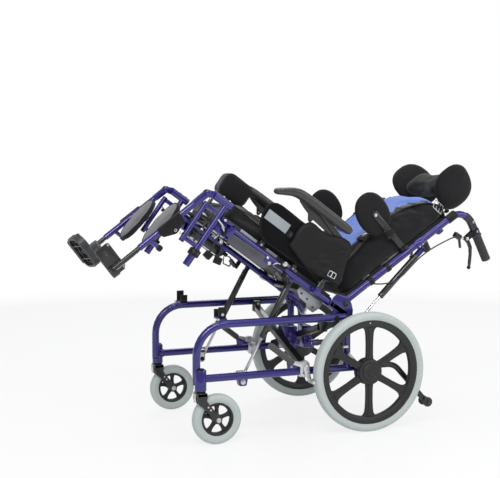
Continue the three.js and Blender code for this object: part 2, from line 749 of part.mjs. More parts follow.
// Seat frame: two tubes that carry the tilt pivots, both springs' lugs, the recline hinges, the
// hanger receivers and the armrest posts

const SEAT = {
  rearEnd: -48,
  lugHalfLength: 12,
  receiverBack: 38, // receiver's rear end behind the front end of the seat tube
  receiverBottom: -6,
  receiverTop: 46,
  receiverHalf: 9,
};
const SEAT_TUBE_R = SEAT_TUBE / 2;

const HANGER = {
  postAhead: 28, // rear post in front of the seat tube's end
  postSpacing: 58,
  postRadius: 10,
  frontPostRadius: 9,
  rearPostTop: 82,
  frontPostTop: 52,
  frontPostBottom: -92,
  capRadius: 13,
  capH: 87,
  capAhead: 50, // cap tube in front of the rear post, and behind it
  capBehind: 21,
  rungH: 46,
  railH: -80,
  rungRadius: 8,
  stubRadius: 12,
  stubBottom: -149,
  clampHalf: 16,
};
const REAR_POST_S = SEAT_DEPTH + HANGER.postAhead;

const RECLINE_SPRING = {
  footS: -90,
  footH: 8,
  topT: 350,
  topF: -26,
  rodRadius: 4,
  cylinderRadius: 11,
  cylinderStart: 150,
  rodReach: 285,
  closedEnd: 28,
  eyeRadius: 9,
  eyeHalf: 4,
  lugRadius: 7,
  cheek: 4,
};

const HINGE = {
  plateInner: 220.2,
  plateOuter: 226,
  eyeRadius: 12.6,
  frontS: 40,
  topH: 80,
};

const ARM_POST = { s: 112, y: 235, radius: 10, top: 214, foot: 22, hingeRadius: 11, hingeHalf: 4 };

const sx = (s) => -s; // forward is -X in every frame

function seatTube() {
  const tube = rod(point(sx(SEAT.rearEnd), SEAT_TUBE_Y, SEAT_TUBE_H), point(sx(SEAT_DEPTH), SEAT_TUBE_Y,
    SEAT_TUBE_H),
    SEAT_TUBE_R);
  const lug = link([0, 0], PIVOT.lugRadius, [0, SEAT_TUBE_H], PIVOT.lugRadius / 2, PIVOT.lugInner,
    PIVOT.lugOuter);
  const springLug = link([sx(TILT_SPRING.topS), TILT_SPRING.topH], TILT_SPRING.lugRadius,
    [sx(TILT_SPRING.topS), SEAT_TUBE_H], SEAT.lugHalfLength, SPRING_Y - TILT_SPRING.eyeHalf,
    SPRING_Y + TILT_SPRING.eyeHalf);

  const receiverRear = SEAT_DEPTH - SEAT.receiverBack;
  const receiver = block(sx(REAR_POST_S - HANGER.postRadius - CLEARANCE), sx(receiverRear),
    SEAT_TUBE_Y, LEG_Y + SEAT.receiverHalf, SEAT.receiverBottom, SEAT.receiverTop);
  const receiverCut = block(sx(REAR_POST_S), sx(receiverRear + SEAT_TUBE), LEG_Y - SEAT.receiverHalf / 2,
    LEG_Y + SEAT.receiverHalf + OVERRUN, SEAT.receiverBottom + SEAT_TUBE_R, SEAT.receiverTop - SEAT_TUBE_R);

  const hingePlate = plate([
    [sx(SEAT.rearEnd - SEAT_TUBE_R), SEAT_TUBE_H - SEAT_TUBE_R],
    [sx(HINGE.frontS), SEAT_TUBE_H - SEAT_TUBE_R],
    [sx(HINGE.frontS), RECLINE_H],
    [sx(RECLINE_S + HINGE.eyeRadius), HINGE.topH],
    [sx(RECLINE_S - HINGE.eyeRadius), HINGE.topH],
    [sx(SEAT.rearEnd), RECLINE_H],
  ], HINGE.plateInner, HINGE.plateOuter);
  const hingeFoot = block(sx(HINGE.frontS), sx(SEAT.rearEnd), SEAT_TUBE_Y, HINGE.plateOuter,
    SEAT_TUBE_H - SEAT_TUBE_R + WELD, SEAT_TUBE_H + SEAT_TUBE_R - HEAD);
  const hingePin = crossRod(sx(RECLINE_S), RECLINE_H, BACK_TUBE_Y - HINGE.eyeRadius - HEAD,
    HINGE.plateInner + WELD,
    PIN_RADIUS, FACETS.pin);

  const spring = RECLINE_SPRING;
  const foot = [sx(spring.footS), spring.footH];
  const springPlate = (y0, y1) => link([sx(SEAT.rearEnd + SEAT_TUBE), SEAT_TUBE_H], SEAT_TUBE_R - HEAD, foot,
    spring.eyeRadius, y0, y1);
  const springClevis = join(
    springPlate(SPRING_Y + CLEVIS.cheekInner, SPRING_Y + CLEVIS.cheekOuter),
    springPlate(SPRING_Y - CLEVIS.cheekOuter, SPRING_Y - CLEVIS.cheekInner),
    crossRod(...foot, SPRING_Y - CLEVIS.cheekOuter - HEAD, SPRING_Y + CLEVIS.cheekOuter + HEAD, PIN_RADIUS,
      FACETS.pin),
  );

  const postX = sx(ARM_POST.s);
  const post = join(
    rod(point(postX, ARM_POST.y, ARM_POST.foot), point(postX, ARM_POST.y, ARM_POST.top), ARM_POST.radius),
    block(postX - ARM_POST.radius, postX + ARM_POST.radius, SEAT_TUBE_Y, ARM_POST.y,
      SEAT_TUBE_H - ARM_POST.radius,
      SEAT_TUBE_H + ARM_POST.radius),
  );
  const armHinge = join(
    crossRod(postX, ARM_POST.top, ARM_POST.y - ARM_POST.hingeHalf, ARM_POST.y + ARM_POST.hingeHalf,
      ARM_POST.hingeRadius, FACETS.pin),
    crossRod(postX, ARM_POST.top, ARM_POST.y - 3 * ARM_POST.hingeHalf, ARM_POST.y + 3 * ARM_POST.hingeHalf,
      PIN_RADIUS, FACETS.pin),
  );
  const hingeRoom = [1, -1].map((side) => {
    const [y0, y1] = [side * ARM_POST.hingeHalf, side * 3 * ARM_POST.radius].sort((a, b) => a - b);
    return crossRod(postX, ARM_POST.top, ARM_POST.y + y0, ARM_POST.y + y1, ARM_POST.hingeRadius + HEAD,
      FACETS.pin);
  });

  const pivotBore = crossRod(0, 0, PIVOT.lugInner - OVERRUN, PIVOT.lugOuter + OVERRUN, PIN_RADIUS + CLEARANCE,
    FACETS.pin);
  const body = join(tube, cut(lug, pivotBore), springLug, cut(receiver, receiverCut), hingePlate, hingeFoot,
    hingePin, springClevis);
  return join(cut(join(body, post), ...hingeRoom), armHinge);
}

// Seat pan, cushion, pommel and side panels

const PAN = {
  rear: 18,
  frontBehind: 4, // the board's front edge behind the seat tubes' ends
  thickness: 11,
  crossBehind: 26, // the front cross tube behind the same ends
  crossRear: 70,
  crossRadius: 10,
};
const PAN_BOTTOM = SEAT_TUBE_H + SEAT_TUBE_R + CLEARANCE;
const PAN_TOP = PAN_BOTTOM + PAN.thickness;

function seatPan() {
  const board = block(sx(SEAT_DEPTH - PAN.frontBehind), sx(PAN.rear), -CUSHION_HALF_WIDTH,
    CUSHION_HALF_WIDTH, PAN_BOTTOM, PAN_TOP);
  const inner = SEAT_TUBE_Y - SEAT_TUBE_R - CLEARANCE;
  const bars = [SEAT_DEPTH - PAN.crossBehind, PAN.crossRear].map((s) => join(
    crossRod(sx(s), SEAT_TUBE_H, -inner, inner, PAN.crossRadius),
    block(sx(s) - PAN.crossRadius, sx(s) + PAN.crossRadius, -inner, -inner + SEAT_TUBE, SEAT_TUBE_H,
      PAN_TOP - WELD),
    block(sx(s) - PAN.crossRadius, sx(s) + PAN.crossRadius, inner - SEAT_TUBE, inner, SEAT_TUBE_H,
      PAN_TOP - WELD),
  ));
  const eyeRoom = [1, -1].map((side) => {
    const [y0, y1] = [side * (BACK_TUBE_Y - HINGE.eyeRadius - HEAD - WELD), side * HINGE.plateOuter]
      .sort((a, b) => a - b);
    return crossRod(sx(RECLINE_S), RECLINE_H, y0, y1, 2 * HINGE.eyeRadius + HEAD, FACETS.hub);
  });
  return cut(join(board, ...bars), ...eyeRoom);
}

const CUSHION = {
  rear: 56,
  lip: 3, // the front edge in front of the seat tubes
  top: 122,
  corner: 34,
  bow: 5,
  rearFall: 34, // how far the rear edge falls under the backrest
  fallLength: 120,
};

function seatCushion() {
  const outline = padOutline(CUSHION.rear, SEAT_DEPTH + CUSHION.lip, -CUSHION_HALF_WIDTH, CUSHION_HALF_WIDTH,
    CUSHION.corner, CUSHION.bow);
  const bottom = PAN_TOP + CLEARANCE;
  const fall = (s) => Math.max(0, 1 - (s - CUSHION.rear) / CUSHION.fallLength);
  return pad(outline, bottom, CUSHION.top, (s, y, w) => {
    const share = (w - bottom) / (CUSHION.top - bottom);
    return point(sx(s), y, w - CUSHION.rearFall * fall(s) ** 1.5 * share);
  });
}

const POMMEL = {
  ahead: 25, // pad in front of the seat tubes' ends
  length: 122,
  bottom: 137,
  top: 228,
  half: 39,
  corner: 24,
  barAhead: 13,
  barThickness: 6,
  barHalf: 15,
  slotBottom: 17,
  tongue: 95, // length of the tongue under the seat pan
};

const POMMEL_SHARES = [[0.86, 0], [0.96, 0.05], [1, 0.16], [1, 0.84], [0.96, 0.95], [0.86, 1]];

function pommel() {
  const front = SEAT_DEPTH + POMMEL.ahead;
  const barFront = SEAT_DEPTH + POMMEL.barAhead;
  const outline = padOutline(front - POMMEL.length, front, POMMEL.bottom, POMMEL.top, POMMEL.corner, 0, 4, 2);
  const blockPad = pad(outline, -POMMEL.half, POMMEL.half, (s, h, y) => point(sx(s), y, h),
    POMMEL_SHARES);
  const bar = block(sx(barFront), sx(barFront - POMMEL.barThickness), -POMMEL.barHalf, POMMEL.barHalf,
    POMMEL.slotBottom,
    POMMEL.bottom + POMMEL.corner);
  const tongue = block(sx(barFront), sx(barFront - POMMEL.tongue), -POMMEL.barHalf, POMMEL.barHalf,
    POMMEL.slotBottom,
    SEAT_TUBE_H - PAN.crossRadius - CLEARANCE);
  return join(blockPad, bar, tongue);
}

const PANEL = {
  rear: 137,
  length: 292,
  bottom: 58,
  height: 151,
  inner: 212.5,
  outer: 238,
  feet: [210, 350],
  footWidth: 16,
};
// Outline as shares of the panel's length and height, from its front edge over the top
const PANEL_SHARES = [[1, 0.61], [0.98, 0.8], [0.89, 0.93], [0.7, 0.97], [0.52, 0.97], [0.28, 1],
  [0.12, 0.99],
  [0.02, 0.86], [0, 0.61], [0.01, 0.38], [0.07, 0.16], [0.19, 0.05], [0.38, 0.01], [0.66, 0], [0.84, 0.05],
  [0.95, 0.28]];

function sidePanel() {
  const outline = PANEL_SHARES.map(([along, up]) => [PANEL.rear + PANEL.length * along,
    PANEL.bottom + PANEL.height * up]);
  const middle = [PANEL.rear + PANEL.length / 2, PANEL.bottom + PANEL.height / 2];
  const body = pad({ outline, middle }, PANEL.inner, PANEL.outer, (s, h, y) => sidePad(sx(s), h, y),
    THIN_PAD_SHARES);
  const feet = PANEL.feet.map((s) => block(sx(s + PANEL.footWidth), sx(s), CUSHION_HALF_WIDTH + CLEARANCE,
    SEAT_TUBE_Y + SEAT_TUBE_R - WELD, SEAT_TUBE_H + SEAT_TUBE_R + CLEARANCE, PANEL.bottom + PANEL.footWidth));
  return join(body, ...feet);
}

// Armrests: a bent padded arm hinged on its post

const ARM = {
  half: 22,
  length: 314,
  rise: 51,
  depthHalf: 15,
  cheekInner: 4.3,
  cheekOuter: 9,
  bracketReach: 150,
  hubRadius: 11,
  bracketEnd: 8,
};
// Pad stations from rear to tip, as shares of the length, the rise and half the depth
const ARM_SHARES = [[0.04, 0.96, 0.53], [0.08, 1, 0.87], [0.19, 1, 1], [0.48, 1, 1], [0.72, 0.96, 1],
  [0.82, 0.82, 0.93], [0.9, 0.53, 0.8], [0.98, 0.2, 0.67], [1, 0.04, 0.4]];
const ARM_END_SHARE = 0.6; // how much narrower the pad's two ends are
const ARM_STATIONS = ARM_SHARES.map(([along, up, deep]) => [ARM.length * along, ARM.rise * up,
  ARM.depthHalf * deep]);

function armrest() {
  const rings = ARM_STATIONS.map(([s, h, depth], i) => {
    const before = ARM_STATIONS[Math.max(i - 1, 0)];
    const after = ARM_STATIONS[min(i + 1, ARM_STATIONS.length - 1)];
    const lean = atan2(after[1] - before[1], after[0] - before[0]);
    const half = i === 0 || i === ARM_STATIONS.length - 1 ? ARM.half * ARM_END_SHARE : ARM.half;
    const ring = [];
    for (let k = 0; k < FACETS.pin; k++) {
      const angle = (2 * PI * (k + 0.5)) / FACETS.pin;
      const across = half * sign(cos(angle)) * Math.abs(cos(angle)) ** 0.7;
      const up = depth * sign(sin(angle)) * Math.abs(sin(angle)) ** 0.7;
      ring.push(point(sx(s - up * sin(lean)), across, h + up * cos(lean)));
    }
    return ring;
  });
  const cheeks = [1, -1].map((side) => {
    const [y0, y1] = [side * ARM.cheekInner, side * ARM.cheekOuter].sort((a, b) => a - b);
    return cut(link([0, 0], ARM.hubRadius, [sx(ARM.bracketReach), ARM.rise - ARM.bracketEnd],
      ARM.bracketEnd, y0, y1),
      crossRod(0, 0, y0 - OVERRUN, y1 + OVERRUN, PIN_RADIUS + CLEARANCE, FACETS.pin));
  });
  return join(loft(rings), ...cheeks);
}

// Backrest: two tubes that bend into push handles, a stiff panel between them and the cushion

const BACK = {
  straight: 573,
  handleLength: 112, // from the bend's corner to the grip
  droop: 8,
  bend: 58,
  tubeRadius: 12.5,
  panelBottom: 34,
  panelTop: 486,
  panelBack: -2,
  panelFront: 12.5,
  barRadius: 8,
  cushionBottom: 16,
  cushionTop: 510,
  cushionArch: 24,
  cushionFront: 116,
  cushionHalf: 196,
  corner: 46,
  bow: 3,
  bottomLift: 26, // how far the cushion's front rises above its back edge
  gripLength: 104,
  gripRadius: 16,
  clampLength: 16,
  clampRadius: 17,
  ringHalf: 15,
  ringWall: 2.5, // of the clamp ring that carries the recline spring
};

// A point on the push handle's centreline, forward and up in the back's frame
const handlePoint = (reach) => [-reach * cos(rad(BACK.droop)), BACK.straight - reach * sin(rad(BACK.droop))];

function backTube() {
  const [fEnd, tEnd] = handlePoint(BACK.handleLength);
  const tube = bentTube([
    point(0, BACK_TUBE_Y, 0),
    point(0, BACK_TUBE_Y, BACK.straight),
    point(-fEnd, BACK_TUBE_Y, tEnd),
  ], BACK.bend, BACK.tubeRadius, 5);
  const eye = crossRod(0, 0, BACK_TUBE_Y - HINGE.eyeRadius, HINGE.plateInner - CLEARANCE, HINGE.eyeRadius,
    FACETS.hub);
  const bore = crossRod(0, 0, BACK_TUBE_Y - HINGE.eyeRadius - OVERRUN, HINGE.plateOuter + OVERRUN,
    PIN_RADIUS + CLEARANCE, FACETS.pin);
  const spring = RECLINE_SPRING;
  const lug = link([-spring.topF, spring.topT], spring.lugRadius, [0, spring.topT], SEAT.lugHalfLength,
    SPRING_Y - spring.eyeHalf, SPRING_Y + spring.eyeHalf);
  const ringRadius = BACK.tubeRadius + BACK.ringWall;
  const clampRing = rod(point(0, BACK_TUBE_Y, spring.topT - BACK.ringHalf),
    point(0, BACK_TUBE_Y, spring.topT + BACK.ringHalf), ringRadius);
  const frontFlat = block(-2 * ringRadius, -BACK.tubeRadius, BACK_TUBE_Y - ringRadius,
    BACK_TUBE_Y + ringRadius, 0,
    BACK.straight);
  return cut(join(tube, eye, lug, cut(clampRing, frontFlat)), bore);
}

function grip() {
  const start = handlePoint(BACK.handleLength + CLEARANCE);
  const end = handlePoint(BACK.handleLength + BACK.gripLength);
  return rod(point(-start[0], BACK_TUBE_Y, start[1]), point(-end[0], BACK_TUBE_Y, end[1]), BACK.gripRadius,
    FACETS.hub);
}

const LEVER = {
  pivotF: -99,
  pivotT: 516,
  bendF: -136,
  bendT: 512,
  tipF: -187,
  tipT: 476,
  ballF: -192,
  ballT: 469,
  half: 5,
  rootRadius: 8,
  bendRadius: 6,
  tipRadius: 4,
  ballRadius: 7,
  cheek: 4,
  cheekRoot: 10,
};

function brakeLever() {
  const at = (f, t) => [-(f - LEVER.pivotF), t - LEVER.pivotT];
  const body = join(
    link([0, 0], LEVER.rootRadius, at(LEVER.bendF, LEVER.bendT), LEVER.bendRadius, -LEVER.half, LEVER.half),
    link(at(LEVER.bendF, LEVER.bendT), LEVER.bendRadius, at(LEVER.tipF, LEVER.tipT), LEVER.tipRadius,
      -LEVER.half, LEVER.half),
    new THREE.SphereGeometry(LEVER.ballRadius, 8, 6).translate(at(LEVER.ballF, LEVER.ballT)[0], 0,
      at(LEVER.ballF, LEVER.ballT)[1]),
  );
  return cut(body, crossRod(0, 0, -LEVER.half - OVERRUN, LEVER.half + OVERRUN, PIN_RADIUS + CLEARANCE,
    FACETS.pin));
}

function backTubeWithBrake() {
  const [fc, tc] = handlePoint(-LEVER.pivotF);
  const inner = LEVER.half + CLEARANCE;
  const cheeks = [1, -1].map((side) => {
    const [y0, y1] = [side * inner, side * (inner + LEVER.cheek)].sort((a, b) => a - b);
    return link([-LEVER.pivotF, LEVER.pivotT], LEVER.rootRadius, [-fc, tc], LEVER.cheekRoot, BACK_TUBE_Y + y0,
      BACK_TUBE_Y + y1);
  });
  const pin = crossRod(-LEVER.pivotF, LEVER.pivotT, BACK_TUBE_Y - inner - LEVER.cheek,
    BACK_TUBE_Y + inner + LEVER.cheek,
    PIN_RADIUS, FACETS.pin);
  const collar = rod(point(-fc - BACK.clampLength / 2, BACK_TUBE_Y, tc),
    point(-fc + BACK.clampLength / 2, BACK_TUBE_Y, tc), BACK.clampRadius, FACETS.hub);
  return join(backTube(), collar, ...cheeks, pin);
}

function backPanel() {
  const inner = BACK_TUBE_Y - BACK.tubeRadius - CLEARANCE;
  const edge = inner - BACK.ringWall;
  const board = block(-BACK.panelFront, -BACK.panelBack, -edge, edge, BACK.panelBottom, BACK.panelTop);
  const bars = [BACK.panelBottom + BACK.barRadius, BACK.panelTop - 4 * BACK.barRadius].map((t) =>
    rod(point(BACK.barRadius / 2, -inner, t), point(BACK.barRadius / 2, inner, t), BACK.barRadius));
  const stemX = -HEADREST.stemF;
  const collarHalf = HEADREST.stemRadius + HEADREST.collarWall;
  const collars = HEADREST.collars.map((t) => block(-BACK.panelFront, stemX + collarHalf, -collarHalf,
    collarHalf,
    t, t + HEADREST.collarHeight));
  const stemBore = rod(point(stemX, 0, HEADREST.stemBottom - OVERRUN), point(stemX, 0, HEADREST.stemTop),
    HEADREST.stemRadius + CLEARANCE, FACETS.pin);
  return cut(join(board, ...bars, ...collars), stemBore);
}

function backCushion() {
  const { outline, middle } = padOutline(BACK.cushionBottom, BACK.cushionTop, -BACK.cushionHalf,
    BACK.cushionHalf,
    BACK.corner, BACK.bow, 4, 5);
  const back = BACK.panelFront + CLEARANCE;
  const depth = BACK.cushionFront - back;
  return pad({ outline, middle }, back, BACK.cushionFront, (t, y, f) => {
    const forward = (f - back) / depth;
    const arch = t > middle[0] ? BACK.cushionArch * (1 - (y / BACK.cushionHalf) ** 2) * (t - middle[0])
      / (BACK.cushionTop - middle[0]) : 0;
    const bottomLift = t < middle[0] ? BACK.bottomLift * forward * (middle[0] - t) / (middle[0] - BACK.cushionBottom) : 0;
    return frontPad(t + arch + bottomLift, y, f);
  });
}

// Lateral supports, headrest

const LATERAL = {
  t: 267,
  f: 182,
  halfT: 66,
  halfF: 82,
  inner: 176,
  outer: 202,
  barInner: 197,
  barOuter: 207.5,
  barHalf: 13,
};

function lateral() {
  const padBody = pad(ovalOutline(LATERAL.f, LATERAL.t, LATERAL.halfF, LATERAL.halfT), LATERAL.inner,
    LATERAL.outer,
    (f, t, y) => point(-f, y, t), THIN_PAD_SHARES);
  const seat = BACK.tubeRadius * TUBE_FLAT_SHARE + CLEARANCE;
  const bar = plate([
    [-LATERAL.f, LATERAL.t - LATERAL.barHalf],
    [-LATERAL.f, LATERAL.t + LATERAL.barHalf],
    [-seat, LATERAL.t + 3 * LATERAL.barHalf],
    [-seat, LATERAL.t + LATERAL.barHalf],
  ], LATERAL.barInner, LATERAL.barOuter);
  return join(padBody, bar);
}

const HEADREST = {
  padUnder: 72, // the pad's lower edge under the stem's top, and its upper edge over it
  padOver: 48,
  padHalf: 126,
  corner: 40,
  padBack: 48,
  padFront: 98,
  wingY: 134,
  wingHalfF: 82,
  wingHalfT: 80,
  wingF: 58,
  wingUnder: 4, // the wings' centres under the stem's top
  wingThick: 46,
  wingSplay: 25,
  stemRadius: 9,
  stemBottom: 380,
  stemTop: 612,
  stemF: -24,
  collars: [392, 462],
  collarHeight: 18,
  collarWall: 4,
};

function headrest() {
  const outline = padOutline(HEADREST.stemTop - HEADREST.padUnder, HEADREST.stemTop + HEADREST.padOver,
    -HEADREST.padHalf, HEADREST.padHalf, HEADREST.corner, 0, 3, 2);
  const centre = pad(outline, HEADREST.padBack, HEADREST.padFront, frontPad, THIN_PAD_SHARES);
  const wings = [1, -1].map((side) => pad(
    ovalOutline(HEADREST.wingF, HEADREST.stemTop - HEADREST.wingUnder, HEADREST.wingHalfF, HEADREST.wingHalfT),
    0, HEADREST.wingThick,
    (f, t, w) => point(-f, side * (HEADREST.wingY - HEADREST.wingThick / 2 + w
      + (f - HEADREST.wingF) * tan(rad(HEADREST.wingSplay))), t), THIN_PAD_SHARES));
  const stem = rod(point(-HEADREST.stemF, 0, HEADREST.stemBottom),
    point(-HEADREST.stemF, 0, HEADREST.stemTop),
    HEADREST.stemRadius, FACETS.pin);
  const neck = rod(point(-HEADREST.stemF, 0, HEADREST.stemTop - HEADREST.stemRadius),
    point(-HEADREST.padBack - OVERRUN, 0, HEADREST.stemTop - HEADREST.stemRadius), HEADREST.stemRadius,
      FACETS.pin);
  return join(centre, ...wings, stem, neck);
}

// Hangers and legrests

function hanger() {
  const at = (ahead, h) => point(sx(ahead), 0, h); // from the rear post
  return join(
    rod(at(0, HANGER.stubBottom), at(0, HANGER.rearPostTop), HANGER.postRadius),
    rod(at(HANGER.postSpacing, HANGER.frontPostBottom), at(HANGER.postSpacing, HANGER.frontPostTop),
      HANGER.frontPostRadius),
    rod(at(0, HANGER.rungH), at(HANGER.postSpacing, HANGER.rungH), HANGER.rungRadius),
    rod(at(0, HANGER.railH), at(HANGER.postSpacing, HANGER.railH), HANGER.rungRadius),
    rod(at(-HANGER.capBehind, HANGER.capH), at(HANGER.capAhead, HANGER.capH), HANGER.capRadius, FACETS.hub),
    rod(at(0, HANGER.stubBottom), at(0, HANGER.railH), HANGER.stubRadius),
    block(sx(HANGER.clampHalf), sx(-HANGER.clampHalf), -HANGER.clampHalf, HANGER.clampHalf,
      HANGER.railH - 2 * HANGER.clampHalf, HANGER.railH - HANGER.clampHalf / 2),
    link([sx(HANGER.capAhead), HANGER.capH], HANGER.capRadius, [sx(LEG.pivotAhead), LEG.pivotH],
      LEG.eyeRadius,
      -LEG.eyeHalf, LEG.eyeHalf),
    crossRod(sx(LEG.pivotAhead), LEG.pivotH, -LEG.cheekOuter - HEAD, LEG.cheekOuter + HEAD, PIN_RADIUS,
      FACETS.pin),
  );
}

const LEG = {
  pivotAhead: 74, // of the hanger's rear post
  pivotH: 78,
  eyeRadius: 11,
  eyeHalf: 4,
  cheekInner: 4.4,
  cheekOuter: 10,
  tubeStart: 38,
  tubeRadius: 10.5,
  tubeEnd: 280,
  innerRadius: 8,
  innerStart: 150,
  innerEnd: 384,
  coverStart: 113,
  coverEnd: 202,
  coverFront: -12,
  coverRear: 36,
  coverHalf: 14,
  padU: 160,
  padHalfU: 91,
  padHalfY: 74,
  padY: -88, // pad centre inboard of the leg plane
  padBack: -17,
  padFront: 7,
  padArm: 5, // half the thickness of the arm that carries the pad
  padLean: 12,
};

function legTube() {
  const bore = rod(point(0, 0, -LEG.innerStart + WELD), point(0, 0, -LEG.tubeEnd - OVERRUN),
    LEG.innerRadius + CLEARANCE, FACETS.pin);
  const tube = rod(point(0, 0, -LEG.tubeStart), point(0, 0, -LEG.tubeEnd), LEG.tubeRadius, FACETS.pin);
  const cheeks = [1, -1].map((side) => {
    const [y0, y1] = [side * LEG.cheekInner, side * LEG.cheekOuter].sort((a, b) => a - b);
    return link([0, 0], LEG.eyeRadius, [0, -LEG.tubeStart - LEG.tubeRadius], LEG.tubeRadius, y0, y1);
  });
  const cheekBore = crossRod(0, 0, -LEG.cheekOuter - OVERRUN, LEG.cheekOuter + OVERRUN,
    PIN_RADIUS + CLEARANCE,
    FACETS.pin);
  const cover = plate([
    [LEG.coverFront, -LEG.coverStart],
    [LEG.coverHalf, -LEG.coverStart],
    [LEG.coverRear, -(LEG.coverStart + LEG.coverEnd) / 2],
    [LEG.coverHalf, -LEG.coverEnd],
    [LEG.coverFront, -LEG.coverEnd],
  ], -LEG.coverHalf, LEG.coverHalf);
  return cut(join(tube, ...cheeks, cover), bore, cheekBore);
}

function calfPad() {
  // the pad leans about its back's middle, so its upper end stands forward
  const lean = rad(LEG.padLean);
  const place = (u, y, f) => point(
    -(LEG.padBack + (f - LEG.padBack) * cos(lean) - (u - LEG.padU) * sin(lean)),
    y,
    -(LEG.padU + (u - LEG.padU) * cos(lean) + (f - LEG.padBack) * sin(lean)),
  );
  const face = pad(ovalOutline(LEG.padU, LEG.padY, LEG.padHalfU, LEG.padHalfY), LEG.padBack, LEG.padFront,
    place, THIN_PAD_SHARES);
  const arm = block(-LEG.padBack - LEG.padArm, -LEG.padBack + LEG.padArm, LEG.padY,
    -LEG.coverHalf - CLEARANCE,
    -LEG.padU - LEG.coverHalf, -LEG.padU + LEG.coverHalf);
  return join(face, arm);
}

const FOOT = {
  heel: -38,
  toe: 88,
  edge: -5, // outboard edge of the plate from the flip hinge
  width: 112,
  top: 374,
  thickness: 24,
  rim: 6,
  web: 6,
  hingeY: -16, // from the leg plane
  hingeRadius: 4,
  pinRadius: 2,
  pinLength: 12,
  knuckle: 6,
  guardRear: -18,
  guardFront: 70,
  guardTop: 345,
  guardInner: -11,
  guardOuter: -6.5,
  raise: 10, // the plate stands flipped up by this angle in the rest pose
};
const FOOT_HINGE_Z = -FOOT.top - FOOT.hingeRadius;

function innerTube() {
  const tube = rod(point(0, 0, -LEG.innerStart - OVERRUN), point(0, 0, -LEG.innerEnd), LEG.innerRadius,
    FACETS.pin);
  const guard = block(-FOOT.guardFront - FOOT.knuckle, -FOOT.guardRear + FOOT.knuckle, FOOT.guardInner,
    FOOT.guardOuter, -FOOT.top - FOOT.thickness, -FOOT.guardTop);
  const knuckles = [[-FOOT.guardFront, -1], [-FOOT.guardRear, 1]].map(([x, side]) => {
    const [x0, x1] = [x, x + side * FOOT.knuckle].sort((a, b) => a - b);
    const along = (xa, xb, radius) => rod(point(xa, FOOT.hingeY, FOOT_HINGE_Z),
      point(xb, FOOT.hingeY, FOOT_HINGE_Z),
      radius, FACETS.pin);
    return join(
      along(x0, x1, FOOT.hingeRadius),
      block(x0, x1, FOOT.hingeY, FOOT.guardInner + WELD, FOOT_HINGE_Z - FOOT.hingeRadius + WELD,
        FOOT_HINGE_Z + FOOT.hingeRadius - WELD),
      along(x1, x - side * FOOT.pinLength, FOOT.pinRadius),
    );
  });
  return join(tube, guard, ...knuckles);
}

function footplate() {
  const { heel, toe, edge, width, thickness, rim, web, hingeRadius } = FOOT;
  const body = block(-toe, -heel, -width, edge, hingeRadius - thickness, hingeRadius);
  const third = (toe - heel - rim) / 3;
  const pockets = [0, 1, 2].map((i) => block(-toe + rim + i * third, -toe + (i + 1) * third, rim - width,
    edge - rim, hingeRadius - thickness - OVERRUN, hingeRadius - web));
  const [x0, x1] = [-FOOT.guardFront + CLEARANCE, -FOOT.guardRear - CLEARANCE];
  const barrel = rod(point(x0, 0, 0), point(x1, 0, 0), hingeRadius, FACETS.pin);
  const web0 = block(x0, x1, edge - WELD, 0, WELD - hingeRadius, hingeRadius - WELD);
  const bores = [[x0, 1], [x1, -1]].map(([x, side]) => rod(point(x - side * OVERRUN, 0, 0),
    point(x + side * (FOOT.pinLength + CLEARANCE), 0, 0), FOOT.pinRadius + CLEARANCE, FACETS.pin));
  return cut(join(cut(body, ...pockets), barrel, web0), ...bores);
}

// Assembly

const centring = new THREE.Group();
chair.add(centring);
const root = addGroup(centring, 'base', 0, 0, 0);

for (const { name, flip, y } of SIDES) {
  addPiece(root, `${name}_side_frame`, sideFrame(), BLUE_PAINT, flip);
  addPiece(root, `${name}_drum_brake`, drumBrake(), STEEL, flip);

  const wheel = addGroup(root, `${name}_rear_wheel`, 0, 0, REAR_AXLE_Z);
  addPiece(wheel, `${name}_rear_rim`, rearRim(), BLACK_PLASTIC, flip);
  addPiece(wheel, `${name}_rear_tyre`,
    tyre(REAR_WHEEL_RADIUS, REAR.tyreHalf, REAR.rimOuter + CLEARANCE, REAR_TRACK, FACETS.wheel), GREY_TYRE,
      flip);

  const swivel = addGroup(root, `${name}_caster_fork`, FRAME.housingX, y * CASTER_TRACK, 0);
  addPiece(swivel, `${name}_caster_fork`, casterFork(), BLACK_PAINT, flip);
  const caster = addGroup(swivel, `${name}_caster_wheel`, CASTER_TRAIL, 0, CASTER_RADIUS);
  addPiece(caster, `${name}_caster_rim`, casterRim(), BLACK_PLASTIC, flip);
  addPiece(caster, `${name}_caster_tyre`, tyre(CASTER_RADIUS, CASTER.tyreHalf, CASTER.rimOuter, 0,
    FACETS.ring),
    GREY_TYRE, flip);

  const tipper = addGroup(root, `${name}_anti_tipper`, 0, y * FRAME_Y, LOWER_RAIL_Z);
  addPiece(tipper, `${name}_anti_tipper`, antiTipper(), BLACK_PAINT, flip);

  const lock = addGroup(root, `${name}_wheel_lock`, LOCK.x, 0, LOCK.z);
  addPiece(lock, `${name}_wheel_lock_lever`, lockLever(), STEEL, flip);
}

addPiece(root, 'front_brace_arm', braceArm(BRACE.frontX, 1, BRACE.frontHigh), BLACK_PAINT);
addPiece(root, 'rear_brace_arm', braceArm(BRACE.rearX, -1, BRACE.rearHigh), BLACK_PAINT);
addPiece(root, 'brace_hub', braceHub(), BLUE_PAINT);

const seat = addGroup(root, 'seat', PIVOT_X, 0, PIVOT_Z, TILT);
const back = addGroup(seat, 'back', sx(RECLINE_S), 0, RECLINE_H, RECLINE);

// Where a pin of the seat or the back lies in the base's or the seat's frame
function seatToBase(s, h) {
  const a = rad(TILT);
  return [PIVOT_X - s * cos(a) + h * sin(a), PIVOT_Z + s * sin(a) + h * cos(a)];
}

function backToSeat(f, t) {
  const a = rad(RECLINE);
  return [RECLINE_S + f * cos(a) - t * sin(a), RECLINE_H + f * sin(a) + t * cos(a)];
}

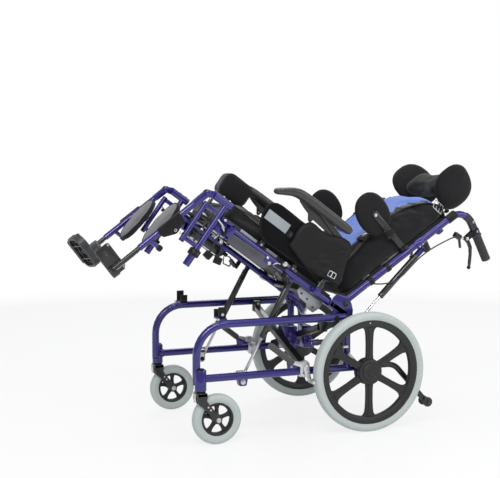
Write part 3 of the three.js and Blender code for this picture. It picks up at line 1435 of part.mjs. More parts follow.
const [tiltTopX, tiltTopZ] = seatToBase(TILT_SPRING.topS, TILT_SPRING.topH);
const tiltSpringLength = hypot(tiltTopX - TILT_SPRING.footX, tiltTopZ - TILT_SPRING.footZ);
const tiltSpringLean = THREE.MathUtils.radToDeg(atan2(tiltTopX - TILT_SPRING.footX,
  tiltTopZ - TILT_SPRING.footZ));
const [reclineTopS, reclineTopH] = backToSeat(RECLINE_SPRING.topF, RECLINE_SPRING.topT);
const reclineSpringLength = hypot(reclineTopS - RECLINE_SPRING.footS, reclineTopH - RECLINE_SPRING.footH);
const reclineSpringLean = THREE.MathUtils.radToDeg(atan2(RECLINE_SPRING.footS - reclineTopS,
  reclineTopH - RECLINE_SPRING.footH));

for (const { name, flip, y } of SIDES) {
  const tiltRod = addGroup(root, `${name}_tilt_spring_rod`, TILT_SPRING.footX, y * SPRING_Y,
    TILT_SPRING.footZ,
    tiltSpringLean);
  addPiece(tiltRod, `${name}_tilt_spring_rod`, springRod(TILT_SPRING), STEEL, flip);
  const tiltCylinder = addGroup(tiltRod, `${name}_tilt_spring_cylinder`, 0, 0, 0);
  addPiece(tiltCylinder, `${name}_tilt_spring_cylinder`, springCylinder(TILT_SPRING, tiltSpringLength),
    BLACK_PAINT,
    flip);

  addPiece(seat, `${name}_seat_tube`, seatTube(), BLUE_PAINT, flip);
  addPiece(seat, `${name}_side_panel`, sidePanel(), BLACK_FABRIC, flip);
  const arm = addGroup(seat, `${name}_armrest`, sx(ARM_POST.s), y * ARM_POST.y, ARM_POST.top);
  addPiece(arm, `${name}_armrest`, armrest(), BLACK_PLASTIC, flip);

  const reclineRod = addGroup(seat, `${name}_recline_spring_rod`, sx(RECLINE_SPRING.footS), y * SPRING_Y,
    RECLINE_SPRING.footH, reclineSpringLean);
  addPiece(reclineRod, `${name}_recline_spring_rod`, springRod(RECLINE_SPRING), STEEL, flip);
  const reclineCylinder = addGroup(reclineRod, `${name}_recline_spring_cylinder`, 0, 0, 0);
  addPiece(reclineCylinder, `${name}_recline_spring_cylinder`, springCylinder(RECLINE_SPRING,
    reclineSpringLength),
    BLACK_PAINT, flip);

  addPiece(back, `${name}_back_tube`, backTubeWithBrake(), BLUE_PAINT, flip);
  addPiece(back, `${name}_grip`, grip(), BLACK_RUBBER, flip);
  addPiece(back, `${name}_lateral_support`, lateral(), BLACK_FABRIC, flip);
  const lever = addGroup(back, `${name}_brake_lever`, -LEVER.pivotF, y * BACK_TUBE_Y, LEVER.pivotT);
  addPiece(lever, `${name}_brake_lever`, brakeLever(), BLACK_PAINT, flip);

  const hang = addGroup(seat, `${name}_hanger`, sx(REAR_POST_S), y * LEG_Y, 0);
  addPiece(hang, `${name}_hanger`, hanger(), BLUE_PAINT, flip);
  const leg = addGroup(hang, `${name}_legrest`, sx(LEG.pivotAhead), 0, LEG.pivotH, LEG_ANGLE);
  addPiece(leg, `${name}_legrest_tube`, legTube(), BLUE_PAINT, flip);
  addPiece(leg, `${name}_calf_pad`, calfPad(), BLACK_FABRIC, flip);
  const inner = addGroup(leg, `${name}_inner_tube`, 0, 0, 0);
  addPiece(inner, `${name}_inner_tube`, innerTube(), BLACK_PAINT, flip);
  const foot = addGroup(inner, `${name}_footplate`, 0, y * FOOT.hingeY, FOOT_HINGE_Z);
  foot.rotation.x = -y * rad(FOOT.raise);
  addPiece(foot, `${name}_footplate`, footplate(), BLACK_PLASTIC, flip);
}

addPiece(seat, 'seat_pan', seatPan(), STEEL);
addPiece(seat, 'seat_cushion', seatCushion(), BLACK_FABRIC);
const pommelGroup = addGroup(seat, 'pommel', 0, 0, 0);
addPiece(pommelGroup, 'pommel', pommel(), BLACK_FABRIC);
addPiece(back, 'back_panel', backPanel(), BLACK_PLASTIC);
addPiece(back, 'back_cushion', backCushion(), BLUE_FABRIC);
const headGroup = addGroup(back, 'headrest', 0, 0, 0);
addPiece(headGroup, 'headrest', headrest(), BLACK_FABRIC);

// The origin is the middle of the chair's footprint, on the floor
chair.updateMatrixWorld(true);
const bounds = new THREE.Box3().setFromObject(chair, true);
centring.position.set(-(bounds.min.x + bounds.max.x) / 2, 0, -bounds.min.z);
chair.updateMatrixWorld(true);

export default chair;
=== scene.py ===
from math import asin, atan2, copysign, cos, exp, hypot, pi, radians, sin, tan, tau

import bpy
from mathutils import Matrix, Vector, noise
from mathutils.kdtree import KDTree


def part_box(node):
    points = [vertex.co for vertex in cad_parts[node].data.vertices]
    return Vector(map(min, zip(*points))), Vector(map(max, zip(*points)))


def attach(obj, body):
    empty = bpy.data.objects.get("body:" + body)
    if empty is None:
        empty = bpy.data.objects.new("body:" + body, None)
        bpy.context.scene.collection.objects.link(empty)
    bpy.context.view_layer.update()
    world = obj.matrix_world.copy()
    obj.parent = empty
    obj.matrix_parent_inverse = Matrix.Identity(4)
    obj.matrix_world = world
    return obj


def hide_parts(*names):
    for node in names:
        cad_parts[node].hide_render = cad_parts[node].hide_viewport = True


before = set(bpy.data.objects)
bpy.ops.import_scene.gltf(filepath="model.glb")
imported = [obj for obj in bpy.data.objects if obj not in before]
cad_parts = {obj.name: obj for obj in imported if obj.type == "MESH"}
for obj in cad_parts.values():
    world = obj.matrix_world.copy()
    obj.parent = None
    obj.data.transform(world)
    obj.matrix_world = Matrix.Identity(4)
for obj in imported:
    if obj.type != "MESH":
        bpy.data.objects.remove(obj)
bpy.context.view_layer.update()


# Camera, floor and lamps. The chair stands on a plain white floor and is seen from its left front,
# a little above the seat, with a short telephoto lens. Two large soft boxes and a pale room light it.

MM = 0.001  # every size below is in millimetres, and is brought to metres where a piece is placed

low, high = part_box("left_rear_rim")
AXLE_X = (low.x + high.x) / 2  # the rear axle, from which all lengths of the chair are taken
chair = Matrix.Translation((AXLE_X, 0, 0)) @ Matrix.Scale(MM, 4)

eye = chair @ Vector((-1596.6, -3342.2, 908.8))
aim = chair @ Vector((-320.9, 0, 639.2))
bpy.ops.object.camera_add(location=eye, rotation=(aim - eye).to_track_quat("-Z", "Y").to_euler())
camera = bpy.context.object
camera.name = "camera"
camera.data.lens = 74.2
camera.data.sensor_width = 36
camera.data.clip_end = 100
bpy.context.scene.camera = camera
bpy.context.scene.view_settings.view_transform = "Standard"


def material(name, colour, roughness, metallic=0.0, **sockets):
    """A new surface with its plain values set, its nodes and its shader."""
    made = bpy.data.materials.new(name)
    made.use_nodes = True
    made.diffuse_color = (*colour, 1)
    nodes = made.node_tree.nodes
    shader = nodes["Principled BSDF"]
    shader.inputs["Base Color"].default_value = (*colour, 1)
    shader.inputs["Roughness"].default_value = roughness
    shader.inputs["Metallic"].default_value = metallic
    for socket, value in sockets.items():
        shader.inputs[socket.replace("_", " ")].default_value = value
    return made, nodes, made.node_tree.links, shader


def soft_box(name, place, target, width, height, watts):
    bpy.ops.object.light_add(type="AREA", location=place)
    lamp = bpy.context.object
    lamp.name = name
    lamp.rotation_euler = (Vector(target) - Vector(place)).to_track_quat("-Z", "Y").to_euler()
    lamp.data.shape = "RECTANGLE"
    lamp.data.size = width
    lamp.data.size_y = height
    lamp.data.energy = watts
    return lamp


soft_box("key_soft_box", (-2.2, -3.0, 3.4), (0, 0, 0.5), 2.6, 1.8, 52)
soft_box("fill_soft_box", (2.6, -2.8, 2.2), (0, 0, 0.6), 2.2, 1.8, 26)
soft_box("top_soft_box", (0.2, 0.6, 4.0), (0, 0, 0.4), 3.2, 3.2, 58)
soft_box("strip_soft_box", (-0.6, -2.5, 3.0), (0, 0, 0.5), 3.0, 0.15, 38)
soft_box("rear_soft_box", (1.8, 3.2, 2.8), (0, 0, 0.6), 2.4, 1.6, 30)


def node(nodes, kind, settings=None, **values):
    """A shader node with its settings, and plain values on its sockets."""
    made = nodes.new("ShaderNode" + kind)
    for setting, value in (settings or {}).items():
        setattr(made, setting, value)
    for socket, value in values.items():
        made.inputs[socket.replace("_", " ")].default_value = value
    return made


def wire(links, runs):
    """Joins sockets: (node, its output, next node, its input)."""
    for source, output, target, socket in runs:
        links.new(source.outputs[output], target.inputs[socket])


WHITE = (1, 1, 1, 1)
room = bpy.data.worlds.new("room")
bpy.context.scene.world = room
room.use_nodes = True
nodes, links = room.node_tree.nodes, room.node_tree.links
glow = nodes["Background"]
glow.inputs["Color"].default_value = WHITE
glow.inputs["Strength"].default_value = 0.42
plain_white = node(nodes, "Background", Color=WHITE, Strength=1)
ray = node(nodes, "LightPath")
seen = node(nodes, "Math", {"operation": "MAXIMUM"})
mix = node(nodes, "MixShader")
wire(links, [(ray, "Is Camera Ray", seen, 0), (ray, "Is Transmission Ray", seen, 1), (seen, 0, mix, 0),
        (glow, 0, mix, 1), (plain_white, 0, mix, 2), (mix, 0, nodes["World Output"], "Surface")])

bpy.ops.mesh.primitive_circle_add(vertices=96, radius=30, fill_type="NGON", location=(0, 0, 0))
floor = bpy.context.object
floor.name = "floor"
floor_white, nodes, links, shader = material("floor_white", (0.93, 0.94, 0.955), 0.22)
shader.inputs["Specular IOR Level"].default_value = 0.35
far_white = node(nodes, "Emission", Color=WHITE)
where = node(nodes, "TexCoord")
reach = node(nodes, "VectorMath", {"operation": "LENGTH"})
fade = node(nodes, "MapRange", {"interpolation_type": "SMOOTHERSTEP"}, From_Min=1.1, From_Max=4.2)
mix = node(nodes, "MixShader")
ray = node(nodes, "LightPath")
paled = node(nodes, "Math", {"operation": "MULTIPLY"})
paled.inputs[1].default_value = 0.8
whiter = node(nodes, "Math", {"operation": "MAXIMUM"})
wire(links, [(where, "Object", reach, 0), (reach, "Value", fade, "Value"), (ray, "Is Camera Ray", paled, 0),
        (paled, 0, whiter, 0), (fade, "Result", whiter, 1), (whiter, 0, mix, 0), (shader, 0, mix, 1),
        (far_white, 0, mix, 2), (mix, 0, nodes["Material Output"], "Surface")])
floor.data.materials.append(floor_white)


# Base side frames. Each is one bent steel tube from the rear of the upper rail down its front post,
# with a straight lower rail, a rear post, a gusset, the caster housing, the saddle that catches the
# seat and the tilt pivot welded on, all powder coated violet blue. End plugs are moulded plastic.

OUT, UP, DOWN, REARWARD, FORWARD = (0, 1, 0), (0, 0, 1), (0, 0, -1), (1, 0, 0), (-1, 0, 0)
IN = (0, -1, 0)  # directions, on a piece of the right side


def deselect():
    if bpy.context.mode != "OBJECT":
        bpy.ops.object.mode_set(mode="OBJECT")
    bpy.ops.object.select_all(action="DESELECT")


def choose(piece):
    """Makes one piece the only one selected, and active."""
    deselect()
    piece.select_set(True)
    bpy.context.view_layer.objects.active = piece


def edit_all():
    bpy.ops.object.mode_set(mode="EDIT")
    bpy.ops.mesh.select_mode(type="VERT")
    bpy.ops.mesh.select_all(action="SELECT")


def faces_out():
    """Turns the selected faces outwards and leaves edit mode."""
    bpy.ops.mesh.normals_make_consistent(inside=False)
    bpy.ops.object.mode_set(mode="OBJECT")


def modified(piece, kind, **settings):
    """Applies one modifier with its settings."""
    change = piece.modifiers.new("change", kind)
    for setting, value in settings.items():
        setattr(change, setting, value)
    bpy.context.view_layer.objects.active = piece
    bpy.ops.object.modifier_apply(modifier=change.name)


def soften(piece, width, segments=2, limit=30):
    """Breaks the sharp edges of a piece with a narrow round."""
    modified(piece, "BEVEL", width=width, segments=segments, limit_method="ANGLE", angle_limit=radians(limit))


def block(x0, x1, y0, y1, z0, z1, finish, edge=1.0, turn=0.0):
    """A rectangular bar or casting, turned about the chair's width, with rounded edges."""
    deselect()
    bpy.ops.mesh.primitive_cube_add(size=1, location=((x0 + x1) / 2, (y0 + y1) / 2, (z0 + z1) / 2),
            scale=(abs(x1 - x0), abs(y1 - y0), abs(z1 - z0)))
    made = bpy.context.object
    bpy.ops.object.transform_apply(location=turn == 0)
    if turn:
        made.rotation_euler.y = radians(turn)
        bpy.ops.object.transform_apply()
    if edge:
        soften(made, edge)
    made.data.materials.append(finish)
    return made


def rounded(points, bend, steps=8):
    """A path of straight runs whose corners are rounded to a bend radius."""
    corners = [Vector(p) for p in points]
    path = [corners[0]]
    for before, corner, after in zip(corners, corners[1:], corners[2:]):
        back, ahead = (before - corner).normalized(), (after - corner).normalized()
        half = back.angle(ahead) / 2
        centre = corner + (back + ahead).normalized() * (bend / sin(half))
        start = corner + back * (bend / tan(half)) - centre
        end = corner + ahead * (bend / tan(half)) - centre
        turn = start.angle(end)
        for k in range(steps + 1):
            a, b = sin(turn * (1 - k / steps)), sin(turn * k / steps)
            path.append(centre + (start * a + end * b) / sin(turn))
    path.append(corners[-1])
    return path


def tube(points, radius, finish, bend=0, closed=False, round_sides=7, name="tube"):
    """A round tube, rod, cable or welt that follows a path."""
    deselect()
    path = rounded(points, bend) if bend else [Vector(p) for p in points]
    curve = bpy.data.curves.new(name, "CURVE")
    curve.dimensions = "3D"
    curve.bevel_depth = radius
    curve.bevel_resolution = round_sides
    curve.use_fill_caps = not closed
    line = curve.splines.new("POLY")
    line.points.add(len(path) - 1)
    for spot, place in zip(line.points, path):
        spot.co = (*place, 1)
    line.use_cyclic_u = closed
    made = bpy.data.objects.new(name, curve)
    bpy.context.scene.collection.objects.link(made)
    made.select_set(True)
    bpy.context.view_layer.objects.active = made
    bpy.ops.object.convert(target="MESH")
    made = bpy.context.object
    edit_all()
    bpy.ops.mesh.remove_doubles(threshold=radius * 0.02)
    faces_out()
    made.data.materials.clear()
    made.data.materials.append(finish)
    return made


def turned(profile, finish, sides=40, at=(0, 0, 0), along=OUT):
    """A turned part: rings of (radius, height) drawn up one after another about its axis."""
    deselect()
    radius, height = profile[0]
    bpy.ops.mesh.primitive_circle_add(vertices=sides, radius=max(radius, 0.05), location=(0, 0, height))
    made = bpy.context.object
    bpy.ops.object.transform_apply()
    edit_all()
    for (r0, h0), (r1, h1) in zip(profile, profile[1:]):
        grow = max(r1, 0.05) / max(r0, 0.05)
        bpy.ops.mesh.extrude_region_move(TRANSFORM_OT_translate={"value": (0, 0, h1 - h0)})
        bpy.ops.transform.resize(value=(grow, grow, 1), center_override=(0, 0, h1))
    bpy.ops.mesh.select_all(action="SELECT")
    bpy.ops.mesh.remove_doubles(threshold=0.12)
    bpy.ops.mesh.fill_holes(sides=0)
    faces_out()
    aim_at = Vector(along).normalized().to_track_quat("Z", "Y").to_matrix().to_4x4()
    made.data.transform(Matrix.Translation(at) @ aim_at)
    made.data.materials.append(finish)
    return made


def pin(radius, start, end, finish, sides=40, at=(0, 0, 0), along=OUT):
    """A plain round pin between two heights on its axis."""
    return turned([(0, start), (radius, start), (radius, end), (0, end)], finish, sides, at, along)


def collar(inner, outer, start, end, finish, sides=40, at=(0, 0, 0), along=OUT, chamfer=None):
    """A ring round a tube or pin, its outer edges cut by (radius, height)."""
    if chamfer:
        cut, step = chamfer
        wall = [(outer - cut, start), (outer, start + step), (outer, end - step), (outer - cut, end)]
    else:
        wall = [(outer, start), (outer, end)]
    return turned([(inner, start)] + wall + [(inner, end), (inner, start)], finish, sides, at, along)


def plate(outline, y0, y1, finish, edge=0.8, segments=2):
    """A flat plate cut to an outline in the side view (x, z), between two widths."""
    deselect()
    bpy.ops.mesh.primitive_circle_add(vertices=len(outline), radius=1, fill_type="NGON")
    made = bpy.context.object
    for vertex, (x, z) in zip(made.data.vertices, outline):
        vertex.co = (x, min(y0, y1), z)
    edit_all()
    bpy.ops.mesh.extrude_region_move(TRANSFORM_OT_translate={"value": (0, abs(y1 - y0), 0)})
    bpy.ops.mesh.select_all(action="SELECT")
    faces_out()
    if edge:
        soften(made, edge, segments)
    made.data.materials.append(finish)
    return made


def link_outline(start, r0, end, r1, steps=8):
    """Outline of a link with two round ends."""
    (x0, z0), (x1, z1) = start, end
    heading = atan2(z1 - z0, x1 - x0)
    lean = asin((r0 - r1) / hypot(x1 - x0, z1 - z0))
    outline = []
    for x, z, r, first, last in ((x1, z1, r1, -pi / 2 + lean, pi / 2 - lean),
            (x0, z0, r0, pi / 2 - lean, 1.5 * pi + lean)):
        for k in range(steps + 1):
            angle = heading + first + (last - first) * k / steps
            outline.append((x + r * cos(angle), z + r * sin(angle)))
    return outline


def link(start, r0, end, r1, y0, y1, finish, edge=0.8):
    return plate(link_outline(start, r0, end, r1), y0, y1, finish, edge)


def bolt(x, y, z, size, finish=None, along=OUT):
    """A hexagon bolt head on its washer, standing out of a face; of steel unless a finish is named."""
    finish = finish or steel
    washer = [(0, 0), (size * 1.25, 0), (size * 1.25, 1.1), (size * 1.1, 1.5), (0, 1.5)]
    tall = size * 0.62
    head = [(0, 1.5), (size, 1.5), (size, 1.5 + tall * 0.82), (size * 0.8, 1.5 + tall), (0, 1.5 + tall)]
    return joined([turned(washer, finish, 24, (x, y, z), along), turned(head, finish, 6, (x, y, z), along)])


def cap_screw(x, y, z, size, finish=None, along=OUT):
    """A domed socket screw with its hexagon recess; of steel unless a finish is named."""
    finish = finish or steel
    dome = [(0, 0), (size, 0), (size, size * 0.35), (size * 0.86, size * 0.62), (size * 0.5, size * 0.74)]
    socket = [(0, size * 0.3), (size * 0.5, size * 0.3), (size * 0.5, size * 0.74)]
    return joined([turned(dome, finish, 24, (x, y, z), along), turned(socket, finish, 6, (x, y, z), along)])


def joined(parts):
    """Several made shapes as one mesh, each with its own finish."""
    deselect()
    for part in parts:
        part.select_set(True)
    bpy.context.view_layer.objects.active = parts[0]
    if len(parts) > 1:
        bpy.ops.object.join()
    return bpy.context.view_layer.objects.active


def frame_at(base, x, y, z, turn):
    """A frame moved within another and turned about the chair's width, in degrees."""
    return base @ Matrix.Translation((x, y, z)) @ Matrix.Rotation(radians(turn), 4, "Y")


def placed(made, name, where, crease=38):
    """Brings a piece from its own millimetres to its place on the chair, and names it."""
    if isinstance(made, list):
        made = joined(made)
    made.data.transform(where)
    made.name = made.data.name = name
    choose(made)
    bpy.ops.object.shade_smooth_by_angle(angle=radians(crease))
    return made


def mirrored(piece, name):
    """The same piece for the chair's other side, with its own mesh."""
    other = piece.copy()
    other.data = piece.data.copy()
    bpy.context.scene.collection.objects.link(other)
    other.data.transform(Matrix.Scale(-1, 4, OUT))
    other.data.flip_normals()
    other.name = other.data.name = name
    return other


def belongs(piece, body, stands_for=None):
    """Tells what a piece rides on and the node it stands for."""
    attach(piece, body)
    if stands_for:
        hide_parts(stands_for)


def both_sides(made, stem, where, body, stands_for=None, crease=38):
    """Places the right-hand piece and mirrors it for the left."""
    right = placed(made, "right_" + stem, where, crease)
    left = mirrored(right, "left_" + stem)
    for piece, side in ((right, "right_"), (left, "left_")):
        belongs(piece, body.replace("SIDE_", side), stands_for and side + stands_for)
    return left


def add_grain(nodes, links, shader, scale, strength, distance, detail, kind="NOISE"):
    """Fine relief of a surface, from a pattern that is fixed in the piece."""
    where = node(nodes, "TexCoord")
    if kind == "NOISE":
        pattern = node(nodes, "TexNoise", Detail=detail, Scale=scale)
        height = "Fac"
    else:
        pattern = node(nodes, "TexVoronoi", Scale=scale)
        height = "Distance"
    relief = node(nodes, "Bump", Strength=strength, Distance=distance)
    wire(links, [(where, "Object", pattern, "Vector"), (pattern, height, relief, "Height"),
            (relief, "Normal", shader, "Normal")])


def vary(nodes, links, shader, dark, light, scale, rough):
    """Slow changes of tone and of gloss over a surface."""
    where = node(nodes, "TexCoord")
    cloud = node(nodes, "TexNoise", Scale=scale, Detail=5)
    tone = node(nodes, "Mix", {"data_type": "RGBA"})
    tone.inputs["A"].default_value = (*dark, 1)
    tone.inputs["B"].default_value = (*light, 1)
    gloss = node(nodes, "MapRange", To_Min=rough[0], To_Max=rough[1])
    wire(links, [(where, "Object", cloud, "Vector"), (cloud, "Fac", tone, "Factor"),
            (tone, "Result", shader, "Base Color"), (cloud, "Fac", gloss, "Value"),
            (gloss, "Result", shader, "Roughness")])


def surface(name, colour, roughness, metallic, tones, grain=None, **sockets):
    """A finish with its slow changes (dark, light, scale, gloss) and its grain (scale, strength, ...)."""
    made, nodes, links, shader = material(name, colour, roughness, metallic, **sockets)
    vary(nodes, links, shader, *tones)
    if grain:
        add_grain(nodes, links, shader, *grain)
    return made


violet = surface("violet_powder_coat", (0.012, 0.006, 0.17), 0.3, 0.3,
        ((0.009, 0.004, 0.13), (0.015, 0.007, 0.2), 9, (0.24, 0.36)), (900, 0.12, 0.0004, 2),
        Coat_Weight=1, Coat_Roughness=0.05)

steel = surface("zinc_plated_steel", (0.66, 0.67, 0.69), 0.3, 1,
        ((0.52, 0.53, 0.55), (0.78, 0.78, 0.79), 40, (0.2, 0.42)), (1400, 0.08, 0.0003, 2))

plastic = surface("moulded_black_plastic", (0.007, 0.007, 0.008), 0.4, 0,
        ((0.005, 0.005, 0.006), (0.011, 0.011, 0.012), 25, (0.34, 0.48)), (1600, 0.22, 0.0004, 2),
        Specular_IOR_Level=0.25)

FRAME_Y, FRAME_R = 240, 13
UPPER_Z, LOWER_Z = 386, 213
FRONT_X, REAR_X = -596, -63
HOUSING = (-586, 251)
PIVOT = (-105, 384)
SADDLE_X = -505
TILT_FOOT = (-433, 190)
LOCK_PIN = (-226, 236)
SPRING_Y = 205  # the middle of both pairs of gas springs


def weld(x, y, z, radius, axis):
    """The bead of a fillet weld round a tube."""
    turn = Vector(axis).normalized().to_track_quat("Z", "Y")
    ring = [Vector((x, y, z)) + turn @ Vector((cos(a) * radius, sin(a) * radius, 0))
            for a in (tau * k / 28 for k in range(28))]
    return tube(ring, 1.5, violet, closed=True, round_sides=2)


rail = tube([(-72, FRAME_Y, UPPER_Z), (FRONT_X, FRAME_Y, UPPER_Z), (FRONT_X, FRAME_Y, 198)], FRAME_R, violet,
        bend=100)
parts = [
    rail,
    tube([(HOUSING[0], FRAME_Y, LOWER_Z), (44, FRAME_Y, LOWER_Z)], FRAME_R - 0.3, violet),
    tube([(REAR_X, FRAME_Y, LOWER_Z), (REAR_X, FRAME_Y, UPPER_Z + 6)], FRAME_R - 0.2, violet),
    weld(REAR_X, FRAME_Y, LOWER_Z + 13, 13.4, UP),
    weld(REAR_X, FRAME_Y, UPPER_Z - 13, 13.4, UP),
    weld(HOUSING[0] + 18, FRAME_Y, LOWER_Z, 13.2, REARWARD),
    # caster housing: a stout sleeve with a chamfered rim, bearing seals and a domed cap
    turned([(0, 176), (17, 176), (19, 178), (19, 241), (17.5, 244), (15.5, 244.4), (15.5, 243), (0, 243)],
           violet, 48, (*HOUSING, 0), UP),
    turned([(0, 243), (14.5, 243), (14.2, 246), (11, 248.6), (5, 249.8), (0, 250)], plastic, 32, (*HOUSING, 0), UP),
    block(FRONT_X - 4, HOUSING[0] + 2, FRAME_Y - 6, FRAME_Y + 12, 186, 236, violet, 2),
    # end plugs
    turned([(0, 0), (12.4, 0), (12.9, 1), (12.9, 3), (11.5, 4.6), (5, 5.4), (0, 5.6)], plastic, 32,
           (-72, FRAME_Y, UPPER_Z), REARWARD),
    turned([(0, 0), (12.2, 0), (12.2, 2), (10, 3.4), (0, 4)], plastic, 32, (FRONT_X, FRAME_Y, 198), DOWN),
    # gusset with its bolt
    plate([(-205, LOWER_Z), (-280, LOWER_Z), (-284, 246), (-276, 252)], FRAME_Y, FRAME_Y + 5, violet, 1),
    cap_screw(-268, FRAME_Y + 5, 232, 5),
    # small rail nut on top of the bend
    turned([(0, 0), (4.4, 0), (4.4, 4), (3, 6), (0, 6.4)], steel, 6, (-520, FRAME_Y, UPPER_Z + 12), UP),
]
# saddle: a welded seat with two upright prongs that end in black caps
top = UPPER_Z + FRAME_R
parts += [
    block(SADDLE_X - 13, SADDLE_X + 13, 184, 233, top - 1, top + 5, violet),
    block(SADDLE_X - 13, SADDLE_X + 13, 227, 245, UPPER_Z, top + 5, violet),
    block(SADDLE_X - 13, SADDLE_X + 13, 184, 189, top, 429, plastic, 1.2),
    block(SADDLE_X - 13, SADDLE_X + 13, 228, 233, top, 440, plastic, 1.2),
    block(SADDLE_X - 11, SADDLE_X + 11, 189, 228, top + 5, top + 9, plastic, 1.5),
    cap_screw(SADDLE_X, 233, 416, 5.5),
]
# tilt pivot: lug plate, boss and a shouldered bolt
parts += [
    turned([(0, 222.7), (13, 222.7), (13, 232), (15, 240), (0, 240)], violet, 32, (PIVOT[0], 0, PIVOT[1])),
    turned([(0, 208.5), (5, 208.5), (9, 209), (9, 214.1), (5, 214.1), (5, 240), (0, 240)], steel, 24,
           (PIVOT[0], 0, PIVOT[1])),
    bolt(PIVOT[0], 253, PIVOT[1], 8, plastic),
]
# tilt spring's clevis: a painted block outside and a steel cheek inside, with the foot bolt through both
fx, fz = TILT_FOOT
parts += [
    plate([(fx - 19, 209), (fx - 13, 178), (fx - 8, 176), (fx + 8, 176), (fx + 13, 178), (fx + 19, 209)], 209.4,
          231.4,
          violet, 1.5),
    plate([(fx - 14, 222), (fx - 11, 184), (fx - 5, 178), (fx + 5, 178), (fx + 11, 184), (fx + 14, 222)], 196, 200.4,
          steel, 0.8),
    block(fx - 14, fx + 14, 196, 232, 214, 222, steel, 1),
    pin(5, 196, 214, steel, 20, (fx, 0, fz)),
    bolt(fx, 231.4, fz, 7),
    bolt(fx, 196, fz, 6.5, plastic, IN),
]
# wheel lock bracket: a cast plate clamped on the lower rail by two screws
lx, lz = LOCK_PIN
parts += [
    link((lx, lz), 17, (lx, LOWER_Z), 17, 249, 263, steel, 1.5),
    block(lx - 15, lx + 15, 226, 252, LOWER_Z - 17, LOWER_Z + 17, steel, 2.5),
    cap_screw(lx - 8, 263, LOWER_Z - 2, 4.2),
    cap_screw(lx + 9, 263, LOWER_Z + 4, 4.2),
    pin(5, 259, 275, steel, 24, (lx, 0, lz)),
    turned([(0, 268), (8, 268), (8, 270), (6.5, 274), (0, 275.5)], steel, 6, (lx, 0, lz)),
]
both_sides(parts, "base_side_frame", chair, "base", "side_frame")


# Cross brace. Two black rectangular steel tubes cross between the side frames and are bolted to them
# through welded feet; where they pass, painted cheek plates hold them together with two long bolts.

satin = surface("satin_black_paint", (0.007, 0.007, 0.008), 0.34, 0.1,
        ((0.005, 0.005, 0.006), (0.01, 0.01, 0.011), 12, (0.28, 0.42)), (1100, 0.14, 0.0004, 2),
        Coat_Weight=0.5, Coat_Roughness=0.15)

BRACE_FRONT_X, BRACE_REAR_X = -215, -140
BRACE_LOW, BRACE_END_Y = 230, 206


def bar(start, end, wide, deep, finish, edge=1.5, across=REARWARD):
    """A straight bar of rectangular section; its width lies along the given direction."""
    start, end = Vector(start), Vector(end)
    along = (end - start).normalized()
    side = (Vector(across) - along * along.dot(Vector(across))).normalized()
    other = along.cross(side)
    deselect()
    bpy.ops.mesh.primitive_cube_add(size=1, scale=(wide, deep, (end - start).length))
    made = bpy.context.object
    bpy.ops.object.transform_apply(location=False, rotation=False)
    if edge:
        soften(made, edge)
    axes = Matrix((side, other, along)).transposed().to_4x4()
    made.data.transform(Matrix.Translation((start + end) / 2) @ axes)
    made.data.materials.append(finish)
    return made


def brace_arm(x, high_side, high, name, stands_for):
    slope = Vector((0, -2 * high_side * BRACE_END_Y, BRACE_LOW - high)).normalized()
    start = Vector((x, high_side * BRACE_END_Y, high)) - slope * 9
    end = Vector((x, -high_side * BRACE_END_Y, BRACE_LOW)) + slope * 9
    made = [bar(start, end, 24, 22, satin, 2.2)]
    for side, rail_z, z in ((high_side, UPPER_Z, high), (-high_side, LOWER_Z, BRACE_LOW)):
        y0, y1 = side * 195, side * (FRAME_Y - FRAME_R - 0.3)
        made.append(block(x - 12, x + 12, min(y0, y1), max(y0, y1), min(z, rail_z) - 15, max(z, rail_z) + 6,
                satin, 2.2))
        made.append(cap_screw(x, side * 195, rail_z - 4, 5, steel, (0, -side, 0)))
        made.append(cap_screw(x, side * 195, rail_z + (-16 if side == high_side else 14), 5, steel, (0, -side, 0)))
    belongs(placed(made, name, chair), "base", stands_for)


brace_arm(BRACE_FRONT_X, 1, 366, "front_brace_bar", "front_brace_arm")
brace_arm(BRACE_REAR_X, -1, 352, "rear_brace_bar", "rear_brace_arm")

cheeks = [block(-202.6, -152.4, -30, 30, 248, 328, violet, 3), block(-127.6, -98, -30, 30, 248, 328, violet, 3)]
for y, z in ((-17, 300), (17, 268)):
    cheeks.append(bolt(-98, y, z, 7, steel, REARWARD))
for y, z in ((-20, 262), (20, 314)):
    cheeks.append(cap_screw(-98, y, z, 5, steel, REARWARD))
cross_hub = placed(cheeks, "brace_cheeks", chair)
belongs(cross_hub, "base", "brace_hub")

# moulded strips on the upper rails, on which the seat tubes rest
stops = placed(joined([block(-300, -152, -246, -234, 397, 401.5, plastic, 1.5),
        block(-301, -91, 234, 246, 397, 401.5, plastic, 1.5)]), "rail_rest_strips", chair)
belongs(stops, "base")


# Rear wheels. One-piece moulded nylon rims with six spokes that flare into the rim, a round hub cap
# over the axle nut, and solid pale grey polyurethane tyres with a shallow cross-cut tread.

tyre_grey = surface("pale_grey_polyurethane", (0.47, 0.53, 0.515), 0.62, 0,
        ((0.435, 0.49, 0.475), (0.51, 0.565, 0.55), 7, (0.55, 0.72)), (700, 0.18, 0.0005, 4),
        Sheen_Weight=0.15, Sheen_Roughness=0.6)

wheel_black = surface("glass_filled_nylon", (0.013, 0.013, 0.014), 0.46, 0,
        ((0.011, 0.011, 0.012), (0.018, 0.018, 0.019), 18, (0.4, 0.55)), (1300, 0.3, 0.0005, 3))

TRACK = 283.6


def spoke(angle, stations, y0, y1, finish, edge):
    """A spoke drawn as half-widths at growing radii, flaring into the rim."""
    along, across = (cos(angle), sin(angle)), (-sin(angle), cos(angle))
    rise = [(r * along[0] + w * across[0], r * along[1] + w * across[1]) for r, w in stations]
    fall = [(r * along[0] - w * across[0], r * along[1] - w * across[1]) for r, w in reversed(stations)]
    return plate(rise + fall, y0, y1, finish, edge, 3)


